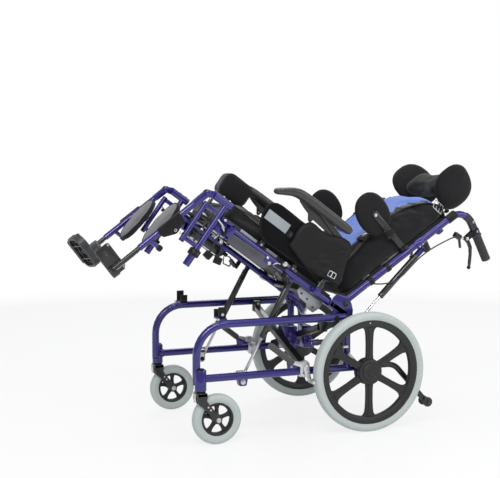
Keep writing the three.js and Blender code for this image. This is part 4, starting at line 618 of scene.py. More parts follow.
REAR_SPOKE = [(34, 15), (46, 12.6), (62, 11.6), (95, 11.6), (122, 12.8), (136, 14.6), (144, 18), (149, 23.5),
        (152, 31), (155, 34)]
REAR_RIB = [(40, 6), (60, 4.4), (100, 4.2), (128, 5.2), (142, 7.5), (150, 11)]
parts = [
    turned([(175.4, TRACK - 15), (175.4, TRACK + 15), (171, TRACK + 15.4), (165, TRACK + 14.6), (158, TRACK + 11.6),
            (153.6, TRACK + 9), (151.8, TRACK + 5.5), (151.8, TRACK - 5.5), (153.6, TRACK - 9), (158, TRACK - 11.6),
            (165, TRACK - 14.6), (171, TRACK - 15.4), (175.4, TRACK - 15)], wheel_black, 128),
    turned([(7, 273.5), (40, 273.5), (43.5, 276), (44, 279), (44, 291), (41.5, 296), (36, 298.6), (31.6, 299.2),
            (31, 300), (31, 303), (29, 304.8), (19, 305), (17.6, 303.6), (13.5, 303.4), (12.6, 304.8), (6, 305),
            (0, 305)], wheel_black, 64),
]
for k in range(6):
    angle = pi / 2 + tau * k / 6
    parts.append(spoke(angle, REAR_SPOKE, TRACK - 7, TRACK + 7, wheel_black, 2.4))
    parts.append(spoke(angle, REAR_RIB, TRACK + 6, TRACK + 9.4, wheel_black, 1.4))
parts.append(tube([(-5.5, TRACK + 16, 164.5), (-5.5, TRACK + 16, 170)], 2.2, steel))
wheel_place = chair @ Matrix.Translation((0, 0, 203))
both_sides(parts, "rear_wheel_rim", wheel_place, "SIDE_rear_wheel", "rear_rim", 32)


def tyre(seat, radius, half, track, lugs, depth):
    """A solid tyre; its tread is cut across in shallow grooves that run out at the shoulders."""
    wall = radius - seat
    profile = [(seat + 0.3, track - half * 0.7)]
    for share, out in ((0.2, 0.86), (0.42, 0.985), (0.58, 1.0), (0.74, 0.95), (0.87, 0.82), (0.95, 0.64),
            (0.985, 0.46),
            (1.0, 0.24)):
        profile.append((seat + wall * share, track - half * out))
    profile += [(r, 2 * track - y) for r, y in reversed(profile)]
    profile.append(profile[0])
    made = turned(profile, tyre_grey, lugs * 2)
    for vertex in made.data.vertices:
        reach = hypot(vertex.co.x, vertex.co.z)
        turn = round(atan2(vertex.co.z, vertex.co.x) / tau * lugs * 2)
        across = abs(vertex.co.y - track)
        if turn % 2 and reach > seat + wall * 0.8 and across > half * 0.2:
            vertex.co.x *= 1 - depth / reach
            vertex.co.z *= 1 - depth / reach
    return made


both_sides(tyre(175.5, 203, 20, TRACK, 110, 0.9), "rear_wheel_tyre", wheel_place, "SIDE_rear_wheel",
        "rear_tyre", 50)


# Drum brakes. A cast drum cover with cooling ribs is bolted to the side frame round the stub axle; a
# short lever on it is pulled by the brake cable.

parts = [
    turned([(8, 255), (34, 255), (40, 257), (44, 259), (46, 262), (46, 270), (44.5, 272), (12, 272), (8, 270)],
           satin, 56, (0, 0, 203)),
    pin(23, 253.3, 257, satin, 32, (0, 0, 203)),
    turned([(0, 268), (6, 268), (6, 295.4), (0, 296)], steel, 24, (0, 0, 203)),
    link((-36, 230), 7, (-62, 262), 5, 254, 257, steel, 0.8),
    cap_screw(-62, 254, 262, 4, steel, IN),
    tube([(-62, 259, 262), (-70, 259, 272), (-76, 258, 286)], 1.4, satin),
    block(-84, -66, 254, 261, 284, 292, steel, 1),
]
for k in range(12):
    a = tau * k / 12
    c, s = cos(a), sin(a)
    parts.append(bar((30 * c, 256.2, 203 + 30 * s), (43 * c, 257.8, 203 + 43 * s), 2.6, 5, satin, 0.8, OUT))
both_sides(parts, "drum_brake_cover", chair, "base", "drum_brake")


# Casters. Pressed steel forks in satin black turn in the housings on their stems and trail the wheels
# behind; five-spoke moulded rims carry solid pale grey tyres on a through bolt.

CASTER_R = 82
fork_place = chair @ Matrix.Translation((*HOUSING, 0))


def fork_leg(y0, y1):
    outline = [(-16, 172), (16, 172), (17, 160), (14, 148), (22, 136), (44, 110), (62, 93), (66.5, 84), (65, 74),
            (57, 69), (48, 69.5), (40, 76), (22, 103), (2, 125), (-14, 138), (-18, 150), (-18, 164)]
    return plate(outline, y0, y1, satin, 1.6, 3)


parts = [
    turned([(0, 158), (15, 158), (17, 160), (17, 174.4), (15, 175.7), (8, 175.7), (8, 234), (0, 234)], satin, 40,
           (0, 0, 0), UP),
    block(-17, 17, -23.7, 23.7, 159.5, 172, satin, 2.5),
    fork_leg(18.2, 23.7),
    fork_leg(-23.7, -18.2),
    tube([(54, -23.7, CASTER_R), (54, 23.7, CASTER_R)], 5, steel),
]
for side in (1, -1):
    parts.append(turned([(0, 23.7), (9, 23.7), (9, 25), (8, 25.4), (7.4, 25.4), (7.4, 29), (6, 30.4), (0, 30.6)],
            steel,
            6, (54, 0, CASTER_R), (0, side, 0)))
    for x, z in ((19, 127), (27, 117)):  # two small punched holes in each leg
        parts.append(turned([(0, 23.6), (3, 23.6), (3, 24.1), (2.2, 24.3), (0, 24.3)], steel, 16, (x, 0, z),
                (0, side, 0)))
parts.append(block(-21, -15, -9, 9, 140, 171, steel, 1.5))
parts.append(cap_screw(-21, 0, 163, 4, steel, FORWARD))
both_sides(parts, "caster_fork_steel", fork_place, "SIDE_caster_fork", "caster_fork")

CASTER_SPOKE = [(9, 9), (15, 6.6), (24, 5.2), (34, 5.4), (41, 7.2), (45, 10.5), (47.5, 15), (49, 17)]
parts = [
    turned([(53.6, -12), (53.6, 12), (50.5, 12.6), (47.2, 11), (45.6, 8), (45.4, 0), (45.6, -8), (47.2, -11),
            (50.5, -12.6), (53.6, -12)], wheel_black, 72),
    turned([(5.4, -17.6), (12, -17.6), (14.4, -16), (15, -13), (16.5, -6), (16.5, 6), (15, 13), (14.4, 16),
            (12, 17.6),
            (5.4, 17.6), (5.4, -17.6)], wheel_black, 40),
]
for k in range(5):
    parts.append(spoke(tau * k / 5 + 0.31, CASTER_SPOKE, -6, 6, wheel_black, 1.8))
caster_place = fork_place @ Matrix.Translation((54, 0, CASTER_R))
both_sides(parts, "caster_wheel_rim", caster_place, "SIDE_caster_wheel", "caster_rim", 32)
both_sides(tyre(54, CASTER_R, 17, 0, 60, 0.4), "caster_wheel_tyre", caster_place, "SIDE_caster_wheel",
        "caster_tyre", 50)


# Anti-tippers. Black bent tubes, plugged into the rear ends of the lower rails with a spring button,
# each carry two small rollers clear of the floor.

rubber = surface("black_rubber", (0.022, 0.022, 0.024), 0.68, 0,
        ((0.018, 0.018, 0.02), (0.03, 0.03, 0.032), 30, (0.6, 0.78)), (1200, 0.35, 0.0006, 3),
        Sheen_Weight=0.25, Sheen_Roughness=0.5)

parts = [
    tube([(44.3, 0, 0), (118, 0, 0), (244, 0, -140)], 10, satin, bend=58),
    turned([(0, 44.4), (12.6, 44.4), (12.7, 52), (11.4, 54), (0, 54)], satin, 32, (0, 0, 0), REARWARD),
    turned([(0, 9), (4, 9), (4, 11), (2.6, 12.4), (0, 12.8)], steel, 16, (66, 0, 0), OUT),
    tube([(244, -24, -140), (244, 24, -140)], 4, steel),
]
for side in (1, -1):
    parts.append(turned([(5, 11), (14, 11), (16.6, 12.4), (17, 14), (17, 18), (16.6, 19.6), (14, 21), (7, 21),
            (6.4, 20),
            (5, 20)], rubber, 40, (244, 0, -140), (0, side, 0)))
    parts.append(turned([(0, 21), (6, 21), (6, 24), (4, 25.5), (0, 26)], satin, 6, (244, 0, -140), (0, side, 0)))
both_sides(parts, "anti_tipper_tube", chair @ Matrix.Translation((0, FRAME_Y, LOWER_Z)), "SIDE_anti_tipper",
        "anti_tipper")


# Wheel locks. A pressed steel lever on the bracket's pin pushes a knurled steel roller into the tyre;
# its handle wears a grey moulded sleeve with finger ribs.

sleeve_grey = surface("grey_moulded_sleeve", (0.05, 0.05, 0.055), 0.6, 0,
        ((0.042, 0.042, 0.046), (0.066, 0.066, 0.072), 22, (0.5, 0.68)), (1300, 0.3, 0.0005, 3),
        Sheen_Weight=0.3, Sheen_Roughness=0.5)

sleeve = [(0, -3), (7, -3), (9.5, -1.5), (10.6, 1), (11, 6)]
for k in range(9):
    sleeve += [(11, 10 + k * 9), (10.1, 12 + k * 9), (10.1, 14.4 + k * 9), (11, 16.4 + k * 9)]
sleeve += [(11, 96), (10, 101), (7.6, 104.4), (4, 106), (0, 106.4)]
grip_from, grip_to = Vector((-46, 265.3, 13)), Vector((-129, 265.3, 77))
parts = [
    link((0, 0), 10, (-46, 13), 6, 263.3, 267.3, steel, 0.8),
    link((0, 0), 10, (16, -52), 7, 263.3, 267.3, steel, 0.8),
    link((-4, 6), 7, (2, -30), 5, 267.3, 270.5, steel, 0.8),
    cap_screw(8, 270.6, -26, 3.4),
    turned([(0, 263.3), (6, 263.3), (6, 268), (5.2, 269), (6.2, 271), (6.2, 298), (5, 300), (0, 300)], steel, 24,
           (16, 0, -52)),
    tube([(-40, 265.3, 11.4), tuple(grip_from.lerp(grip_to, 0.2))], 5, steel),
    turned(sleeve, sleeve_grey, 28, grip_from, grip_to - grip_from),
]
for k in range(12):
    a = tau * k / 12
    x, z = 16 + 6 * cos(a), -52 + 6 * sin(a)
    parts.append(tube([(x, 272, z), (x, 297, z)], 0.7, steel, round_sides=1))
both_sides(parts, "wheel_lock_handle", chair @ Matrix.Translation((LOCK_PIN[0], 0, LOCK_PIN[1])),
        "SIDE_wheel_lock", "wheel_lock_lever")


# Tilt gas springs. A bright piston rod hinged on the base's clevis slides in a black cylinder that
# is forked onto the seat tube's lug; together they hold the seat at any tilt.

rod_chrome = surface("bright_piston_rod", (0.8, 0.81, 0.83), 0.14, 1,
        ((0.72, 0.73, 0.75), (0.85, 0.86, 0.87), 60, (0.1, 0.2)))
cylinder_black = surface("painted_cylinder", (0.012, 0.012, 0.013), 0.26, 0.1,
        ((0.01, 0.01, 0.011), (0.018, 0.018, 0.019), 14, (0.2, 0.34)), Coat_Weight=0.8,
        Coat_Roughness=0.1)


def spring_rod(stem, length, place):
    made = [
        pin(5, 3, length, rod_chrome, 28, (0, 0, 0), UP),
        turned([(0, 6), (5.6, 8), (6, 10), (6, 17), (5, 19), (4.2, 20), (0, 20)], steel, 24, (0, 0, 0), UP),
        collar(5.4, 9, -4, 4, steel, 32, chamfer=(0.6, 0.6)),
    ]
    both_sides(made, stem + "_piston_rod", place, "SIDE_" + stem + "_rod", stem + "_rod")


def spring_cylinder(stem, start, length, foot, place, fork=satin):
    shell = [(4.5, start), (8, start), (10.4, start + 1.5), (11, start + 3), (11, start + 16), (10.4, start + 17),
            (11, start + 18), (11, foot - 6), (10.2, foot - 3), (7, foot), (0, foot)]
    made = [turned(shell, cylinder_black, 40, (0, 0, 0), UP)]
    for side in (1, -1):
        made.append(link((0, foot - 2), 8, (0, length), 8, side * 4.3, side * 8.3, fork, 0.8))
        made.append(cap_screw(0, side * 8.3, length, 5.2, satin, (0, side, 0)))
    node_name = stem + "_cylinder"
    both_sides(made, node_name + "_body", place, "SIDE_" + node_name, node_name)


tilt_place = frame_at(chair, TILT_FOOT[0], SPRING_Y, TILT_FOOT[1], 28.684)
spring_rod("tilt_spring", 205, tilt_place)
spring_cylinder("tilt_spring", 155, 358.66, 340.66, tilt_place)


# Seat tubes. Two painted steel tubes carry the tilt lugs, the gas springs' lugs, the recline hinges,
# the armrest posts and, in front, the folded steel receivers that the hangers drop into.

SEAT_TILT = 36
seat = frame_at(chair, PIVOT[0], 0, PIVOT[1], SEAT_TILT)
HINGE_X, HINGE_Z = 9, 62  # the recline hinge
RECLINE_FOOT = (90, 8)
ARM_HINGE = (-112, 235, 214)
SEAT_TUBE_Y, SEAT_TUBE_H, SEAT_TUBE_R = 207, 34, 12.5

smoked = surface("smoked_anodised_aluminium", (0.12, 0.115, 0.14), 0.3, 0.85,
        ((0.07, 0.066, 0.08), (0.18, 0.17, 0.2), 14, (0.24, 0.4)), (900, 0.1, 0.0003, 2))

parts = [
    tube([(48, SEAT_TUBE_Y, SEAT_TUBE_H), (-512, SEAT_TUBE_Y, SEAT_TUBE_H)], SEAT_TUBE_R, violet),
    turned([(0, 0), (11.8, 0), (12.3, 1), (12.3, 3), (10.5, 4.6), (0, 5)], plastic, 32,
           (48, SEAT_TUBE_Y, SEAT_TUBE_H), REARWARD),
    link((0, 0), 16, (0, SEAT_TUBE_H), 9, 214.6, 222.2, violet, 1),
    collar(5.6, 9, 214.5, 222.3, steel, 28, (0, 0, 0)),
    link((-197, 6), 7, (-197, SEAT_TUBE_H), 12, 201, 209, violet, 0.8),
    # hanger receiver: inner plate, two flanges, rear web and a folded mouth
    block(-529.6, -474, 207, 227, -6, 46, violet, 2),
    block(-529.6, -474, 224, 244, 37, 46, violet, 2),
    block(-529.6, -474, 224, 244, -6, 4, violet, 2),
    plate([(-474, -6), (-486, -6), (-490, 6), (-490, 34), (-486, 46), (-474, 46), (-468, 36), (-468, 4)], 207, 244,
          violet, 2),
    cap_screw(-504, 227, 20, 6),
    bolt(-516, 244, 41.5, 3.4),
    # recline hinge: plate, foot and shouldered pin
    plate([(59, 22), (-40, 22), (-40, 58), (-36, 70), (-8, 79), (20, 80), (32, 72), (46, 60), (58, 40)], 220.2, 226,
          violet, 1.4, 3),
    block(-40, 48, 207, 226, 23, 44, violet, 3),
    turned([(0, 190.5), (7, 190.5), (7, 193), (5, 193.5), (5, 221.5), (0, 221.5)], steel, 24, (HINGE_X, 0, HINGE_Z)),
    bolt(HINGE_X, 226, HINGE_Z, 8.5, satin),
    cap_screw(-26, 226, 36, 5, satin),
    cap_screw(36, 226, 36, 5, satin),
    # recline spring's clevis
    link((23, SEAT_TUBE_H), 10.5, RECLINE_FOOT, 9, 209.4, 214, violet, 0.8),
    link((23, SEAT_TUBE_H), 10.5, RECLINE_FOOT, 9, 196, 200.6, violet, 0.8),
    pin(5, 194.5, 215.5, steel, 20, (90, 0, 8)),
    bolt(90, 214, 8, 6.4),
    bolt(90, 196, 8, 6.4, steel, IN),
    # armrest post in its socket, with the hinge's hub on top
    block(-124, -100, 207, 246, 22, 46, violet, 3),
    tube([(-112, 235, 22), (-112, 235, 205)], 9.6, satin),
    turned([(0, 0), (10.4, 0), (12, 1.5), (12, 17), (10.6, 18.5), (10, 19)], satin, 32, (-112, 235, 46), UP),
    pin(11, 231, 239, satin, 32, (-112, 0, 214)),
    pin(5, 222.8, 247.2, steel, 20, (-112, 0, 214)),
    block(-116.5, -107.5, 231, 239, 198, 210, satin, 1),
    # smoked cover strip on the outer side of the tube, with its clamp and a bright edge trim
    plate([(-466, -9), (-466, 24), (-318, 30), (-300, 24), (-296, 12), (-304, -4), (-314, -9)], 220, 224.5,
          smoked, 1.6, 3),
    block(-470, -318, 213, 221, 10, 24, satin, 1),
    block(-452, -318, 220.5, 224.5, -16, -11, steel, 1),
    block(-456, -446, 205, 221, -15, 8, satin, 1.5),
    block(-326, -316, 205, 221, -15, 10, satin, 1.5),
    block(-326, -296, 216, 226.5, 12, 34, violet, 3.5),
    bolt(-303, 226.5, 17, 4.4),
    bolt(-318, 226.5, 29, 3.6),
    # end of the cover strip: a wire loop, a round grey guide and a moulded foot with a bright knob
    tube([(-297, 222, 12), (-268, 222, 15), (-250, 222, -13), (-280, 222, -18)], 2.6, satin, bend=5, closed=True,
         round_sides=4),
    block(-300, -286, 213, 224, 6, 20, satin, 1.5),
    turned([(0, 0), (7, 0), (8.4, 1.4), (8.4, 30), (7, 32), (0, 32.4)], smoked, 28, (-266, 219, 8), (1, 0, -0.3)),
    block(-240, -226, 211, 222, -6, 24, plastic, 2),
    tube([(-286, 221, 24), (-278, 222, 34), (-266, 222, 38)], 2, steel, bend=6, round_sides=4),
    block(-274, -238, 211, 222, 28, 45, plastic, 3),
    turned([(0, 219), (5.5, 219), (5.5, 229), (8.5, 231), (9, 235), (7.5, 238.6), (3, 239.6), (0, 239.8)], steel, 28,
           (-258, 0, 45)),
]
# hanger release: two bright pins and a small knob below the receiver
parts += [
    tube([(-500, 216, -6), (-504, 216, -22)], 3.4, steel),
    tube([(-494, 213, -4), (-514, 213, -20)], 2.6, steel),
    turned([(0, 0), (6, 0), (6.6, 2), (6.6, 9), (5, 11), (0, 11.6)], steel, 20, (-480, 217, -14), (0.2, 0, -1)),
]
both_sides(parts, "seat_side_tube", seat, "seat", "seat_tube")

# cast bracket with three bored holes, screwed to the left seat tube from inside
cast_alloy = surface("cast_aluminium", (0.42, 0.43, 0.45), 0.42, 0.7,
        ((0.34, 0.35, 0.37), (0.5, 0.51, 0.53), 60, (0.36, 0.5)), (700, 0.25, 0.0005, 2))
parts = [
    plate([(-150, 22), (-150, 6), (-128, -10), (-96, -12), (-84, -24), (-58, -24), (-46, 0), (-46, 22)], 184, 190,
          cast_alloy, 1.6, 3),
    block(-146, -50, 183, 194, 14, 24, cast_alloy, 2),
]
for x, z in ((-132, 6), (-104, 2), (-70, -10)):
    parts.append(turned([(4, 190), (7.5, 190), (7.5, 193), (6.6, 194), (4, 194), (4, 190)], cast_alloy, 28,
            (x, 0, z)))
    parts.append(pin(4, 183, 191, satin, 20, (x, 0, z)))
casting = joined(parts)
casting.data.transform(Matrix.Translation((0, -374, 0)))
belongs(placed(casting, "left_tilt_bracket", seat), "seat")

# the release pedals of the left receiver: two square moulded knobs on bent wires
pedals = placed(joined([
    tube([(-476, -214, -4), (-456, -214, -64)], 3, satin),
    tube([(-496, -214, -4), (-490, -214, -68)], 3, satin),
    block(-464, -440, -225, -203, -86, -62, plastic, 3, -12),
    block(-502, -478, -225, -203, -90, -66, plastic, 3, 10),
]), "left_release_pedals", seat)
belongs(pedals, "seat")


# Seat pan. A black coated plywood board rests on the seat tubes and is screwed to two cross tubes;
# light grey hook tape along its edges holds the cushion.

board_black = surface("coated_plywood", (0.017, 0.017, 0.019), 0.55, 0,
        ((0.012, 0.012, 0.014), (0.026, 0.026, 0.028), 30, (0.48, 0.66)), (500, 0.3, 0.0005, 4))
hook_tape = surface("light_grey_hook_tape", (0.33, 0.33, 0.34), 0.85, 0,
        ((0.26, 0.26, 0.27), (0.4, 0.4, 0.41), 50, (0.78, 0.92)), (1500, 0.6, 0.0008, 1, "CELLS"),
        Sheen_Weight=0.4)

parts = [
    plate([(-508, 47), (-508, 57.6), (-44, 57.6), (-44, 47)], -203.5, 203.5, board_black, 2),
    plate([(-44, 47), (-44, 57.6), (-18, 57.6), (-18, 47)], -172, 172, board_black, 2),
    tube([(-486, -194, 34), (-486, 194, 34)], 10, satin),
    tube([(-70, -194, 34), (-70, 194, 34)], 10, satin),
]
for x in (-486, -70):
    for y in (-180, 180):
        parts.append(block(x - 10, x + 10, y - 12, y + 12, 36, 47.4, satin, 1.5))
for side in (1, -1):
    for x0, x1 in ((-441, -372), (-330, -284), (-240, -196)):
        parts.append(block(x0, x1, side * 203, side * 205.2, 48, 57, hook_tape, 0.6))
for x in (-440, -330, -220, -110):
    for y in (-150, 0, 150):
        parts.append(cap_screw(x, y, 47, 5, steel, DOWN))
pan = placed(parts, "seat_board", seat)
belongs(pan, "seat", "seat_pan")


# Seat cushion. A foam block in a black spacer-fabric cover, sewn from a top, a border and a base with
# piped edges; it thins toward the backrest and bulges a little between its seams.

def cloth_finish(name, dark, light, thread, sheen, relief, roughness=0.88):
    """Woven or knitted cover: two directions of thread laid on the piece's own cloth map."""
    made, nodes, links, shader = material(name, light, roughness, Sheen_Weight=sheen, Sheen_Roughness=0.45)
    shader.inputs["Specular IOR Level"].default_value = 0.15
    laid = node(nodes, "UVMap", {"uv_map": "cloth"})
    crossed = node(nodes, "Math", {"operation": "MULTIPLY"})
    for k, direction in enumerate(("X", "Y")):
        threads = node(nodes, "TexWave", {"bands_direction": direction}, Scale=thread, Distortion=0.6, Detail=1)
        wire(links, [(laid, "UV", threads, "Vector"), (threads, "Fac", crossed, k)])
    where = node(nodes, "TexCoord")
    cloud = node(nodes, "TexNoise", Scale=11, Detail=6)
    half = node(nodes, "Math", {"operation": "MULTIPLY"})
    half.inputs[1].default_value = 0.7
    blend = node(nodes, "Math", {"operation": "MULTIPLY_ADD"})
    blend.inputs[1].default_value = 0.4
    tone = node(nodes, "Mix", {"data_type": "RGBA"})
    tone.inputs["A"].default_value = (*dark, 1)
    tone.inputs["B"].default_value = (*light, 1)
    bump = node(nodes, "Bump", Strength=relief, Distance=0.0006)
    wire(links, [(where, "Object", cloud, "Vector"), (cloud, "Fac", half, 0), (crossed, 0, blend, 0),
            (half, 0, blend, 2), (blend, 0, tone, "Factor"), (tone, "Result", shader, "Base Color"),
            (crossed, 0, bump, "Height"), (bump, "Normal", shader, "Normal")])
    return made


# the cushions' black fabric; the upright side panels and arm guards wear darker copies of it, darkened as painted
# shade
black_cloth = cloth_finish("black_spacer_fabric", (0.006, 0.006, 0.007), (0.017, 0.017, 0.019), 420, 0.32, 0.5)
black_welt = cloth_finish("black_piping_cloth", (0.004, 0.004, 0.005), (0.012, 0.012, 0.013), 700, 0.2, 0.4)


def cloth_map(piece):
    """Lays the cover's cloth map over a piece, one metre to one unit, from six sides."""
    choose(piece)
    while piece.data.uv_layers:
        piece.data.uv_layers.remove(piece.data.uv_layers[0])
    piece.data.uv_layers.new(name="cloth")
    edit_all()
    bpy.ops.uv.cube_project(cube_size=1.0, correct_aspect=False, scale_to_bounds=False)
    bpy.ops.object.mode_set(mode="OBJECT")


def pad_outline(u0, u1, v0, v1, corner, bow=0.0, per_corner=7, per_side=8):
    """A rectangle with round corners whose sides draw in by bow between them."""
    outline = []
    left, right, low, high = u0 + corner, u1 - corner, v0 + corner, v1 - corner
    corners = [(right, high), (left, high), (left, low), (right, low)]
    for quarter, (u, v) in enumerate(corners):
        for k in range(per_corner + 1):
            angle = pi / 2 * (quarter + k / per_corner)
            outline.append((u + corner * cos(angle), v + corner * sin(angle)))
        nu, nv = corners[(quarter + 1) % 4]
        turn = pi / 2 * (quarter + 1)
        c, s = cos(turn), sin(turn)
        for k in range(1, per_side):
            share = k / per_side
            drawn = bow * sin(pi * share)
            outline.append((u + corner * c + (nu - u) * share - drawn * c,
                    v + corner * s + (nv - v) * share - drawn * s))
    return outline


def oval(u, v, half_u, half_v, count=48, square=1.0):
    """An oval, or with square below 1 a rounder-cornered form of it."""
    ring = []
    for k in range(count):
        a = tau * k / count
        c, s = cos(a), sin(a)
        ring.append((u + half_u * copysign(abs(c) ** square, c), v + half_v * copysign(abs(s) ** square, s)))
    return ring


PAD_SHARES = [(0.80, 0.0), (0.93, 0.03), (0.985, 0.14), (1.0, 0.4), (0.99, 0.7), (0.95, 0.88), (0.86, 0.97),
        (0.66, 1.04),
        (0.4, 1.08), (0.15, 1.1)]


def pad_form(outline, w0, w1, place, finish, shares=PAD_SHARES):
    """The cut form of a pad: its outline, drawn in and raised from back to front, as a closed skin."""
    deselect()
    middle = (sum(u for u, v in outline) / len(outline), sum(v for u, v in outline) / len(outline))
    full = shares[-1][1]
    bpy.ops.mesh.primitive_circle_add(vertices=len(outline), radius=1, fill_type="NGON")
    made = bpy.context.object
    edit_all()
    for k in range(len(shares) - 1):
        bpy.ops.mesh.extrude_region_move(TRANSFORM_OT_translate={"value": UP})
    bpy.ops.object.mode_set(mode="OBJECT")
    rings = {}
    for vertex in made.data.vertices:
        rings.setdefault(round(vertex.co.z), []).append(vertex)
    for level, ring in rings.items():
        shrink, rise = shares[level]
        ring.sort(key=lambda vertex: atan2(vertex.co.x, -vertex.co.y) % tau)
        for vertex, (u, v) in zip(ring, outline):
            vertex.co = place(middle[0] + (u - middle[0]) * shrink, middle[1] + (v - middle[1]) * shrink,
                    w0 + (w1 - w0) * rise / full)
    edit_all()
    faces_out()
    made.data.materials.append(finish)
    return made


def upright(s, h, y):
    """Place of a form that is drawn in the side view."""
    return Vector((-s, y, h))


def stuffed(piece, voxel, pressure, cap, hold=None):
    """Fills a cover: an even mesh is blown up as cloth, held where it is glued down, and smoothed."""
    choose(piece)
    finish = list(piece.data.materials)
    modified(piece, "REMESH", mode="VOXEL", voxel_size=voxel)
    before = [vertex.co.copy() for vertex in piece.data.vertices]
    cloth = piece.modifiers.new("stuffing", "CLOTH")
    settings = cloth.settings
    settings.quality = 5
    settings.mass = 0.3
    settings.tension_stiffness = settings.compression_stiffness = 25
    settings.shear_stiffness = 12
    settings.bending_stiffness = 1.5
    settings.use_pressure = True
    settings.uniform_pressure_force = pressure
    settings.effector_weights.gravity = 0
    cloth.collision_settings.use_collision = False
    if hold:
        group = piece.vertex_groups.new(name="held")
        group.add([v.index for v in piece.data.vertices if hold(v.co)], 1.0, "REPLACE")
        settings.vertex_group_mass = "held"
    for step in range(1, 21):
        bpy.context.scene.frame_set(step)
    bpy.ops.object.modifier_apply(modifier=cloth.name)
    for vertex, old in zip(piece.data.vertices, before):
        moved = vertex.co - old
        if moved.length > cap:
            vertex.co = old + moved * (cap / moved.length)
    bpy.context.scene.frame_set(1)
    modified(piece, "SMOOTH", factor=0.5, iterations=4)
    modified(piece, "SUBSURF", levels=1, render_levels=1)
    piece.data.materials.clear()
    for one in finish:
        piece.data.materials.append(one)
    bpy.ops.object.shade_smooth()


def on_surface(piece, path, lift=0.0):
    """A path laid onto a piece's skin."""
    laid = []
    for spot in path:
        found, place, normal, index = piece.closest_point_on_mesh(Vector(spot))
        laid.append(place + normal * lift)
    return laid


def sunk(piece, path, width, depth):
    """Draws the skin in along a sewn seam that runs round."""
    dense = []
    ends = path + path[:1]
    for a, b in zip(ends, ends[1:]):
        a, b = Vector(a), Vector(b)
        count = max(1, int((b - a).length / (width * 0.25)))
        dense += [a.lerp(b, k / count) for k in range(count)]
    dense.append(Vector(ends[-1]))
    tree = KDTree(len(dense))
    for k, spot in enumerate(dense):
        tree.insert(spot, k)
    tree.balance()
    normals = [vertex.normal.copy() for vertex in piece.data.vertices]
    for vertex, normal in zip(piece.data.vertices, normals):
        spot, k, away = tree.find(vertex.co)
        if away < width * 2.2:
            vertex.co -= normal * depth * exp(-(away / (width * 0.8)) ** 2)


def welt_on(path, radius, finish):
    """A closed welt with its cloth map."""
    made = tube(path, radius, finish, closed=True, round_sides=3)
    cloth_map(made)
    return made


CUSHION_REAR, CUSHION_FRONT, CUSHION_BOTTOM, CUSHION_TOP = 60, 511, 58.6, 119


def cushion_place(s, y, w):
    share = (w - CUSHION_BOTTOM) / (CUSHION_TOP - CUSHION_BOTTOM)
    fall = max(0.0, 1 - (s - CUSHION_REAR) / 120)
    return Vector((-s, y, w - 34 * fall ** 1.5 * share))


CUSHION_SHARES = [(0.95, 0.0), (0.985, 0.02), (0.995, 0.1), (0.99, 0.3), (0.985, 0.55), (0.99, 0.78), (0.98, 0.88),
        (0.94, 0.95), (0.84, 1.0), (0.5, 1.03), (0.2, 1.04)]
cushion_outline = pad_outline(CUSHION_REAR, CUSHION_FRONT, -199, 199, 34, 4)
cushion = pad_form(cushion_outline, CUSHION_BOTTOM, CUSHION_TOP, cushion_place, black_cloth, CUSHION_SHARES)
placed(cushion, "seat_cushion_cover", seat, 60)
seat_up = (seat.to_3x3() @ Vector(UP)).normalized()
base_level = (seat @ Vector((0, 0, 61))).dot(seat_up)
stuffed(cushion, 0.0055, 3.5, 0.012, lambda co: co.dot(seat_up) < base_level)
for vertex in cushion.data.vertices:  # the base stays flat on the board
    under = base_level - 0.0024 - vertex.co.dot(seat_up)
    if under > 0:
        vertex.co += seat_up * under


def cushion_ring(level, inward, middle=287):
    """The line round the cushion at a share of its height, drawn in a little."""
    height = CUSHION_BOTTOM + (CUSHION_TOP - CUSHION_BOTTOM) * level
    return [seat @ cushion_place(middle + (s - middle) * inward, y * inward, height) for s, y in cushion_outline]


for level, inward in ((0.86, 0.992), (0.12, 0.998)):
    sunk(cushion, cushion_ring(level, inward), 0.004, 0.0016)
cloth_map(cushion)
piece = joined([cushion, welt_on(on_surface(cushion, cushion_ring(0.86, 0.992), 0.0008), 0.0022, black_welt)])
piece.name = "seat_cushion_cover"
belongs(piece, "seat", "seat_cushion")


# Pommel. A firm foam block in a black cover that keeps the knees apart, on a steel bar whose tongue
# slides under the seat board.

pommel = pad_form(pad_outline(419, 533, 141, 224, 24, 0, 6, 3), -36, 36, upright, black_cloth,
        [(0.86, 0), (0.95, 0.05), (1, 0.15), (1, 0.4), (1, 0.6), (1, 0.85), (0.95, 0.95), (0.86, 1),
        (0.5, 1.02)])
placed(pommel, "pommel_block", seat, 60)
stuffed(pommel, 0.0042, 4, 0.005)
cloth_map(pommel)


def piped(pad, ring, width, depth, lift, radius):
    """Draws a pad in along its seam and lays a welt on it."""
    ring = on_surface(pad, ring)
    sunk(pad, ring, width, depth)
    pad.data.update()
    return welt_on(on_surface(pad, ring, lift), radius, black_welt)


pieces = [pommel]
for side in (1, -1):
    ring = [seat @ Vector((-s, side * 36, h)) for s, h in pad_outline(417, 535, 139, 226, 24, 0, 6, 5)]
    pieces.append(piped(pommel, ring, 0.0035, 0.0012, 0.0004, 0.002))
metal = joined([
    block(-525, -519, -15, 15, 17, 170, satin, 1.2),
    block(-525, -430, -15, 15, 17.4, 23.2, satin, 1.2),
    cap_screw(-525.3, 0, 60, 5, steel, FORWARD),
    cap_screw(-525.3, 0, 110, 5, steel, FORWARD),
])
metal.data.transform(seat)
piece = joined(pieces + [metal])
piece.name = "pommel_block"
belongs(piece, "seat", "pommel")


# Side panels. Thin foam pads in black fabric, piped round the outer edge, screwed to the seat tubes
# by two feet; a bare metal label plate and a moulded clip sit on the outer face of the left one.

PANEL_SHARES = [(1, 0.61), (0.98, 0.8), (0.89, 0.93), (0.7, 0.97), (0.52, 0.97), (0.28, 1), (0.12, 0.99),
        (0.02, 0.86),
        (0, 0.61), (0.01, 0.38), (0.07, 0.16), (0.19, 0.05), (0.38, 0.01), (0.66, 0), (0.84, 0.05),
        (0.95, 0.28)]


